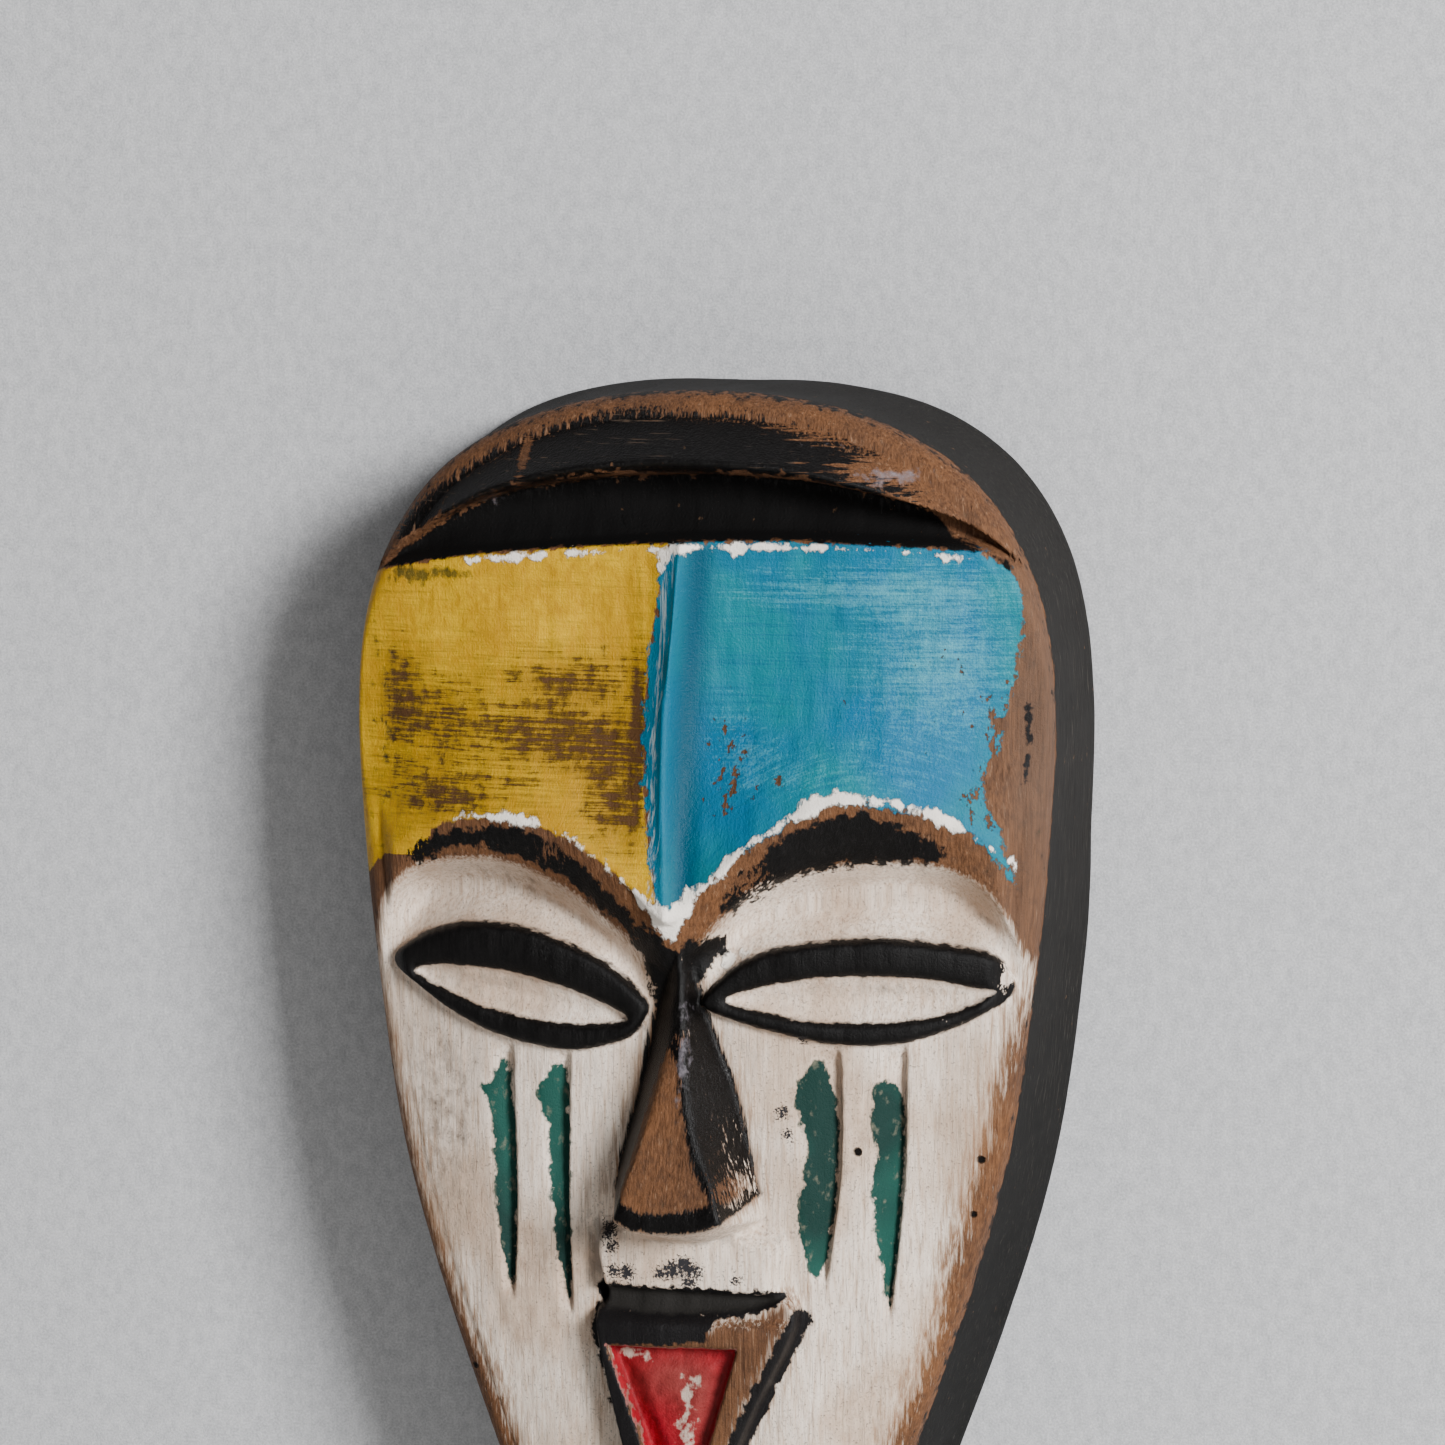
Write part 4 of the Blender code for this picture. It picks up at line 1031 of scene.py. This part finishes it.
# %% Chalk white over the face
painted = new_material("brush_painted_hardwood")
tree = painted.node_tree
found = lay_out_patterns(tree)
surface = bare_wood(tree, found)
weather = broken_up(tree, "weathered")
weather = node(tree, "Math", {0: weather, 1: 0.6}, operation="MULTIPLY")
surface = lay(tree, surface, weather, "#5C4C42", 0.7)
wash = coat_mask(tree, "white", found["streak"], 12, 3.6)
surface = lay(tree, surface, wash, "#9C7450", 0.8, 0.03)
chalk = drift(tree, found["streak"], 0.3, 0.56, "#CFB39C", "#F8E8D8")
stained = drift(tree, found["chip"], 0.3, 0.7, "#B3937A", "#DCC2AA")
blotch = node(tree, "MapRange", {0: found["cloud"], 1: 0.44, 2: 0.62, 4: 0.75})
chalk = node(tree, "Mix", {0: blotch, 6: chalk, 7: stained}, 2, data_type="RGBA")
# Stains, and painted shade under the brows and over the left cheek.
soil_and_shade = broken_up(tree, "soiled_and_shaded")
soil_and_shade = node(tree, "Math", {0: soil_and_shade, 1: found["chip"]}, operation="MULTIPLY")
chalk = node(tree, "Mix", {0: soil_and_shade, 6: chalk, 7: colour("#8F755F")}, 2, data_type="RGBA")
white = coat_mask(tree, "white", found["streak"], 17, 3.0)
surface = lay(tree, surface, white, chalk, 0.9, 0.15)
fibre = node(tree, "MapRange", {0: found["grain"], 1: 0.54, 2: 0.68, 4: 0.4})
fibre = node(tree, "Math", {0: fibre, 1: white}, operation="MULTIPLY")
surface = lay(tree, surface, fibre, "#94806F", 0.9, -0.1)
speck = node(tree, "MapRange", {0: found["tooth"], 1: 0.58, 2: 0.7, 4: 0.7})
speck = node(tree, "Math", {0: speck, 1: white}, operation="MULTIPLY")
surface = lay(tree, surface, speck, "#82766E", 0.9, -0.1)
# Dirt, and painted shade: beside and under the nose, beside the mouth block, under the brows and lids.
dirt_and_shade = broken_up(tree, "grime_and_shade", (found["chip"], 2.2))
dirt_and_shade = node(tree, "MapRange", {0: dirt_and_shade, 1: 1.5, 2: 2.2, 4: 0.6})
dirt_and_shade = node(tree, "Math", {0: dirt_and_shade, 1: white}, operation="MULTIPLY")
surface = lay(tree, surface, dirt_and_shade, "#635A52", 0.85)
print("nodes up to the chalk and its dirt:", len(tree.nodes))

# %% [markdown]
# ## Golden yellow
# Ochre in oil: satin, with brush hairs left across it. Rubbing has thinned it to olive and then to umber,
# in bands along the brush marks, so the wear here adds the brush pattern to the chips. It could be a
# second mask over bare wood, but a thinned colour is what a rubbed glaze really shows.

# %% Golden yellow on the left of the forehead
# The lighter flakes of this gold are partly painted glints, over the paint's own uneven tone.
gold = drift(tree, found["chip"], 0.36, 0.62, "#B88A10", "#DDAF12")
gold = drift(tree, found["cloud"], 0.3, 0.6, "#AD7F14", gold)
yellow = coat_mask(tree, "yellow", found["chip"], 4)
thin = broken_up(tree, "yellow_worn", (found["chip"], 1.6), (found["brush"], 1.9))
olive = node(tree, "MapRange", {0: thin, 1: 1.85, 2: 2.45, 4: 0.7})
umber = node(tree, "MapRange", {0: thin, 1: 2.38, 2: 2.7, 4: 0.92})
gold = node(tree, "Mix", {0: olive, 6: gold, 7: colour("#6B5218")}, 2, data_type="RGBA")
gold = node(tree, "Mix", {0: umber, 6: gold, 7: colour("#4A3021")}, 2, data_type="RGBA")
surface = lay(tree, surface, yellow, gold, 0.42, 0.2)
surface = lay(tree, surface, umber, gold, 0.6, -0.12)
smudge = broken_up(tree, "smudged", (found["chip"], 3.0))
smudge = node(tree, "MapRange", {0: smudge, 1: 2.0, 2: 2.5, 4: 0.8})
surface = lay(tree, surface, smudge, "#25301C", 0.5)
print("nodes up to the yellow:", len(tree.nodes))

# %% [markdown]
# ## Turquoise blue
# A turquoise oil paint, brushed along the brow's arc low down and straight across higher up. So the noise
# for the strokes is laid along the distance from the brow, and turns into the level brush marks above.
# The high places are rubbed pale, and the pale patch on the right is partly a painted sheen; the valley
# beside the ridge is dark, and the ridge's crest is scraped.

# %% Turquoise blue on the right of the forehead
sweep = broken_up(tree, "sweep")
split = node(tree, "SeparateXYZ", {0: node(tree, "TexCoord", {}, "Object")})
along = node(tree, "Math", {0: split, 1: 110.0}, operation="MULTIPLY")
over = node(tree, "Math", {0: sweep, 1: 0.9}, operation="MULTIPLY")
stroke = node(tree, "CombineXYZ", {0: along, 2: over})
stroke = node(tree, "TexNoise", {"Vector": stroke, "Scale": 1.0, "Detail": 5, "Roughness": 0.7})
high = node(tree, "MapRange", {0: sweep, 1: 12.0, 2: 34.0})
stroke = node(tree, "Mix", {0: high, 2: stroke, 3: found["brush"]}, data_type="FLOAT")
sea = drift(tree, found["cloud"], 0.38, 0.62, "#02658C", "#067684")
sea = drift(tree, stroke, 0.28, 0.5, "#02607C", sea)
# Partly painted sheen: the pale patch on the right of the blue stands for light on the gloss, besides real
# rubbing.
rubbed_and_sheen = broken_up(tree, "rubbed_and_sheen", (stroke, 2.4), (found["tooth"], 1.6), (found["chip"], 1.2))
rubbed_and_sheen = node(tree, "MapRange", {0: rubbed_and_sheen, 1: 3.05, 2: 4.1, 4: 0.65})
sea = node(tree, "Mix", {0: rubbed_and_sheen, 6: sea, 7: colour("#5FB0BC")}, 2, data_type="RGBA")
valley = broken_up(tree, "valley")
sea = node(tree, "Mix", {0: valley, 6: sea, 7: colour("#01465C")}, 2, data_type="RGBA")
crest = broken_up(tree, "ridge")
sea = node(tree, "Mix", {0: crest, 6: sea, 7: colour("#067090")}, 2, data_type="RGBA")
blue = coat_mask(tree, "blue", found["chip"], 7)
blue = wear_off(tree, blue, "blue_worn", found["chip"], 3.6, 0.9)
surface = lay(tree, surface, blue, sea, 0.38, 0.25)
crest = broken_up(tree, "ridge", (found["streak"], 3.0))
crest = node(tree, "MapRange", {0: crest, 1: 2.4, 2: 2.8, 4: 0.7})
surface = lay(tree, surface, crest, "#C6D2D2", 0.6)
print("nodes up to the blue:", len(tree.nodes))

# %% [markdown]
# ## Thick white dabs
# They were put on with a loaded brush after the panels were dry, so they stand half a millimetre proud
# and have torn edges. A bump does for that height, because it is small beside the relief.

# %% Thick white dabs
dab = coat_mask(tree, "dabs", found["chip"], 6, 0.3)
surface = lay(tree, surface, dab, "#FBF3E8", 0.8, 0.5)
print("nodes up to the dabs:", len(tree.nodes))

# %% [markdown]
# ## Gloss black
# The band, brows, lids, nose and lips are a bone black in oil. It is glossier where hands polish it,
# and it has worn to brown wood along each crest.

# %% Black on the band, in the cove and along the brows
coal = drift(tree, found["streak"], 0.45, 0.8, "#050404", "#171515")
cove_paint = coat_mask(tree, "cove", found["chip"], 3)
cove_paint = wear_off(tree, cove_paint, "crest_worn", found["chip"], 3.0, 0.55, 0.1)
surface = lay(tree, surface, cove_paint, "#040303", 0.8, 0.1)
band_paint = coat_mask(tree, "band", found["streak"], 14, 0.6)
band_paint = wear_off(tree, band_paint, "band_worn", found["chip"], 3.0, 0.7, 0.15)
band_paint = wear_off(tree, band_paint, "band_worn", found["brush"], 2.4, 0.42, 0.1)
band_paint = wear_off(tree, band_paint, "crest_worn", found["chip"], 3.0, 0.55, 0.1)
surface = lay(tree, surface, band_paint, coal, 0.34, 0.15)
scuff = node(tree, "MapRange", {0: found["brush"], 1: 0.62, 2: 0.7, 4: 0.6})
scuff = node(tree, "Math", {0: scuff, 1: band_paint}, operation="MULTIPLY")
surface = lay(tree, surface, scuff, "#7D6A5A", 0.5, -0.04)
brow_paint = coat_mask(tree, "brow", found["chip"], 9, 0.4)
brow_paint = wear_off(tree, brow_paint, "brow_worn", found["streak"], 3.0, 0.6)
surface = lay(tree, surface, brow_paint, coal, 0.42, 0.12)
print("nodes up to the brows' black:", len(tree.nodes))

# %% [markdown]
# ## Black on the lids, the nose and the lips
# The lids are drawn with a small brush, so their edges are cleaner than the band's. The nose is the
# glossiest: its front facet stays bare wood, and its ridge and the band carry a pale grey painted sheen,
# a highlight laid into the colour. The lip's cove is dusty.

# %% Black on the lids, the nose and the lips
lid_paint = coat_mask(tree, "lid", found["chip"], 1.6)
lid_paint = wear_off(tree, lid_paint, "lid_worn", found["chip"], 2.4, 0.75)
surface = lay(tree, surface, lid_paint, coal, 0.5, 0.15)
nose_paint = coat_mask(tree, "nose", found["streak"], 5, 0.3)
nose_paint = wear_off(tree, nose_paint, "nose_worn", found["streak"], 3.0, 0.62)
surface = lay(tree, surface, nose_paint, coal, 0.28, 0.12)
# Painted sheen: a pale grey laid on the band and down the nose's ridge stands for a highlight.
sheen_paint = broken_up(tree, "painted_sheen", (found["chip"], 2.4))
sheen_paint = node(tree, "MapRange", {0: sheen_paint, 1: 1.85, 2: 2.5, 4: 0.7})
surface = lay(tree, surface, sheen_paint, "#8F8890", 0.35)
mouth_paint = coat_mask(tree, "mouth", found["chip"], 5)
surface = lay(tree, surface, mouth_paint, "#121011", 0.5, 0.1)
dusty = coat_mask(tree, "lip_cove", found["chip"], 2, 0.4)
surface = lay(tree, surface, dusty, "#211F1D", 0.7)
flecks = coat_mask(tree, "flecks", found["tooth"], 8, 0.3)
surface = lay(tree, surface, flecks, "#2B2A2D", 0.7)
print("nodes up to the lips' black:", len(tree.nodes))

# %% [markdown]
# ## Red and green
# The mouth is a crimson oil over the pale ground, rubbed brownish in the middle and chipped to the ground.
# The cheek cuts hold a verdigris green that has gone dull, with chalk dust caught in it.

# %% Red in the mouth and green in the cheek cuts
red_mask = coat_mask(tree, "red", found["chip"], 3)
surface = lay(tree, surface, red_mask, "#B8A294", 0.8, 0.05)
red_mask = wear_off(tree, red_mask, "red_worn", found["chip"], 2.6, 0.72, 0.3)
crimson = drift(tree, found["chip"], 0.35, 0.65, "#700612", "#9C1022")
rub = broken_up(tree, "red_rubbed")
rub = node(tree, "Math", {0: rub, 1: found["chip"]}, operation="MULTIPLY")
crimson = node(tree, "Mix", {0: rub, 6: crimson, 7: colour("#7A443C")}, 2, data_type="RGBA")
surface = lay(tree, surface, red_mask, crimson, 0.45, 0.1)
green_mask = coat_mask(tree, "green", found["chip"], 5, 0.3)
verdigris = drift(tree, found["cloud"], 0.4, 0.6, "#17483F", "#10302B")
verdigris = drift(tree, found["chip"], 0.58, 0.78, verdigris, "#7C7866")
surface = lay(tree, surface, green_mask, verdigris, 0.6, 0.1)
print("nodes up to the green:", len(tree.nodes))

# %% [markdown]
# ## Worm holes and the edge
# Insects have bored a few holes of under 2 mm, which are deep, so a strong bump in a dark dot is
# enough; the dark dot is painted shade inside the hole. The side's black laps the front edge. Last, the
# tooth of dry paint roughens the whole front.

# %% Worm holes, and the side's black where it comes over the arris
# Painted shade: a near-black dot stands for the shade inside each hole.
hole_mask = coat_mask(tree, "holes", found["chip"], 0.5, 0.2)
surface = lay(tree, surface, hole_mask, "#0C0806", 0.9, -1.2)
over_arris = coat_mask(tree, "wall", found["chip"], 8, 0.4)
surface = lay(tree, surface, over_arris, "#1E1D1C", 0.7, 0.15)
tooth = node(tree, "Math", {0: found["tooth"], 1: 0.24, 2: surface[2]}, operation="MULTIPLY_ADD")
finish_material(tree, (surface[0], surface[1], tooth), 0.16)
for material in (painted, side_paint, back_wood):
    mesh.materials.append(material)
print("nodes in the painted wood:", len(tree.nodes))

# %% [markdown]
# ## Zinc-plated steel
# The strap, ring and screws are bright zinc-plated mild steel: a blue-grey metal with a faint cloudy
# spangle, a few fine scratches, and a dull brown where damp has got at it.

# %% Plated steel on the hanger's own pieces
plate = new_material("zinc_plated_steel")
tree = plate.node_tree
found = lay_out_patterns(tree)
metal = drift(tree, found["chip"], 0.35, 0.65, "#A8ABAE", "#C9CCCE")
metal_rough = node(tree, "MapRange", {0: found["tooth"], 1: 0.3, 2: 0.7, 3: 0.28, 4: 0.46})
tarnish = node(tree, "MapRange", {0: found["cloud"], 1: 0.56, 2: 0.7, 4: 0.5})
metal = node(tree, "Mix", {0: tarnish, 6: metal, 7: colour("#7A6A58")}, 2, data_type="RGBA")
scratches = node(tree, "Math", {0: found["tooth"], 1: 0.02}, operation="MULTIPLY")
metal_normal = node(tree, "Bump", {"Strength": 1.0, "Distance": MM, "Height": scratches})
shader = node(tree, "BsdfPrincipled", {"Base Color": metal, "Roughness": metal_rough, "Metallic": 1.0,
                                       "Normal": metal_normal})
node(tree, "OutputMaterial", {"Surface": shader})
HANGER_PIECES = ("hanger_strap", "hanger_ring", "hanger_screw_upper", "hanger_screw_lower")
for name in HANGER_PIECES:
    for material_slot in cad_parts[name].material_slots:
        material_slot.material = plate
print("plated pieces:", ", ".join(HANGER_PIECES))

# %% [markdown]
# ## The room
# The mask hangs on a pale plaster wall, over a pale floor. The wall shows only from its front, and it has
# an opening hidden behind the mask, so the back of the carving can be looked at and gets light too.

# %% Plaster wall and floor
WALL_GAP = 0.0005
HALF_ROOM = 2.6
FLOOR_DROP = 0.62
FLOOR_NEAR, FLOOR_FAR = -3.4, 1.8
HOLE_INSET = 9.0
HOLE_MIDDLE = -130.0
hole = even_steps(EDGE, 72)
toward = np.array([0, HOLE_MIDDLE]) - hole
hole = hole + toward * (HOLE_INSET / np.hypot(*toward.T))[:, None]
turn = np.arctan2(hole[:, 1] - HOLE_MIDDLE, hole[:, 0])
outer = np.stack([np.cos(turn), np.sin(turn)], 1)
outer /= np.abs(outer).max(axis=1)[:, None]
ring_points = [(hx * MM, WALL_GAP, hz * MM) for hx, hz in hole]
ring_points += [(ox * HALF_ROOM, WALL_GAP, oz * HALF_ROOM) for ox, oz in outer]
count = len(hole)
wall_faces = [(k, (k + 1) % count, count + (k + 1) % count, count + k) for k in range(count)]
wall_mesh = bpy.data.meshes.new("plaster_wall")
wall_mesh.from_pydata(ring_points, [], wall_faces)
floor_mesh = bpy.data.meshes.new("pale_floor")
floor_corners = [(-HALF_ROOM, FLOOR_NEAR), (HALF_ROOM, FLOOR_NEAR), (HALF_ROOM, FLOOR_FAR),
                 (-HALF_ROOM, FLOOR_FAR)]
floor_mesh.from_pydata([(fx, fy, -FLOOR_DROP) for fx, fy in floor_corners], [], [(0, 1, 2, 3)])
plaster_wall = bpy.data.objects.new("plaster_wall", wall_mesh)
pale_floor = bpy.data.objects.new("pale_floor", floor_mesh)
for thing in (plaster_wall, pale_floor):
    bpy.context.scene.collection.objects.link(thing)
print("wall normal points to the viewer:", wall_mesh.polygons[0].normal.y < 0)

# %% [markdown]
# ## Plaster and screed
# The wall is a fine grey plaster, smoothed with a steel trowel: matt, with a speckle of half a millimetre
# and cloudy patches. From behind it is clear, so that the mask's back can be seen. The floor is a pale
# screed with soft clouds.

# %% Plaster and floor materials
plaster = new_material("trowelled_plaster")
tree = plaster.node_tree
found = lay_out_patterns(tree)
grey = drift(tree, found["tooth"], 0.36, 0.64, "#9A9B9E", "#DADADC")
grain = drift(tree, found["chip"], 0.36, 0.62, "#B2B3B6", "#CECED0")
grey = node(tree, "Mix", {0: 0.55, 6: grey, 7: grain}, 2, data_type="RGBA")
relief = node(tree, "Math", {0: found["tooth"], 1: 0.14}, operation="MULTIPLY")
relief = node(tree, "Bump", {"Strength": 0.6, "Distance": MM, "Height": relief})
front = node(tree, "BsdfPrincipled", {"Base Color": grey, "Roughness": 0.9, "Normal": relief})
behind = node(tree, "NewGeometry", {}, "Backfacing")
clear = node(tree, "BsdfTransparent", {})
node(tree, "OutputMaterial", {"Surface": node(tree, "MixShader", {0: behind, 1: front, 2: clear})})
wall_mesh.materials.append(plaster)
screed = new_material("pale_floor_screed")
tree = screed.node_tree
found = lay_out_patterns(tree)
pale = drift(tree, found["cloud"], 0.3, 0.7, "#C6C5C2", "#D2D1CE")
floor_shader = node(tree, "BsdfPrincipled", {"Base Color": pale, "Roughness": 0.7})
node(tree, "OutputMaterial", {"Surface": floor_shader})
floor_mesh.materials.append(screed)
print("room finishes:", plaster.name, "and", screed.name)

# %% [markdown]
# ## Camera and light
# A long lens stands off to the right and a little above, so the side wall shows. The main light is a
# large soft panel from the upper right: it throws the soft shadow to the left. A weak panel
# behind the wall lights the hollow back.

# %% Camera
AIM = Vector((7.3, -52, -66)) * MM
TO_THE_RIGHT = math.radians(13)
ABOVE = math.radians(7)
DISTANCE = 1.4
VIEW_WIDTH = 0.321
camera_data = bpy.data.cameras.new("camera")
camera_data.lens = 36 * DISTANCE / VIEW_WIDTH
camera = bpy.data.objects.new("camera", camera_data)
bpy.context.scene.collection.objects.link(camera)
toward_camera = Vector((math.sin(TO_THE_RIGHT) * math.cos(ABOVE), -math.cos(TO_THE_RIGHT) * math.cos(ABOVE),
                        math.sin(ABOVE)))
camera.location = AIM + DISTANCE * toward_camera
camera.rotation_euler = (-toward_camera).to_track_quat("-Z", "Y").to_euler()
bpy.context.scene.camera = camera
print("lens in mm", round(camera_data.lens))


# %% [markdown]
# ## Two soft panels
# A big soft panel gives a shadow with a soft edge, as a window does. Its place is given as angles round
# the mask and above it, which is how a shadow is read: it falls the opposite way.

# %% Lights
LAMPS_LOOK_AT = Vector((0, 0, -0.1))


def soft_panel(name, around, above, distance, size, watts):
    """A square light panel that looks at the mask from a direction given in degrees."""
    panel = bpy.data.lights.new(name, "AREA")
    panel.size = size
    panel.energy = watts
    lamp = bpy.data.objects.new(name, panel)
    bpy.context.scene.collection.objects.link(lamp)
    around, above = math.radians(around), math.radians(above)
    way = Vector((math.sin(around) * math.cos(above), -math.cos(around) * math.cos(above), math.sin(above)))
    lamp.location = LAMPS_LOOK_AT + distance * way
    lamp.rotation_euler = (-way).to_track_quat("-Z", "Y").to_euler()


soft_panel("key_panel", around=46, above=18, distance=3.2, size=0.9, watts=186)
soft_panel("back_panel", around=165, above=25, distance=1.6, size=1.2, watts=14)
world = bpy.data.worlds.new("room_light")
world.use_nodes = True
world.node_tree.nodes["Background"].inputs["Color"].default_value = colour("#ECECEE")
world.node_tree.nodes["Background"].inputs["Strength"].default_value = 0.11
bpy.context.scene.world = world
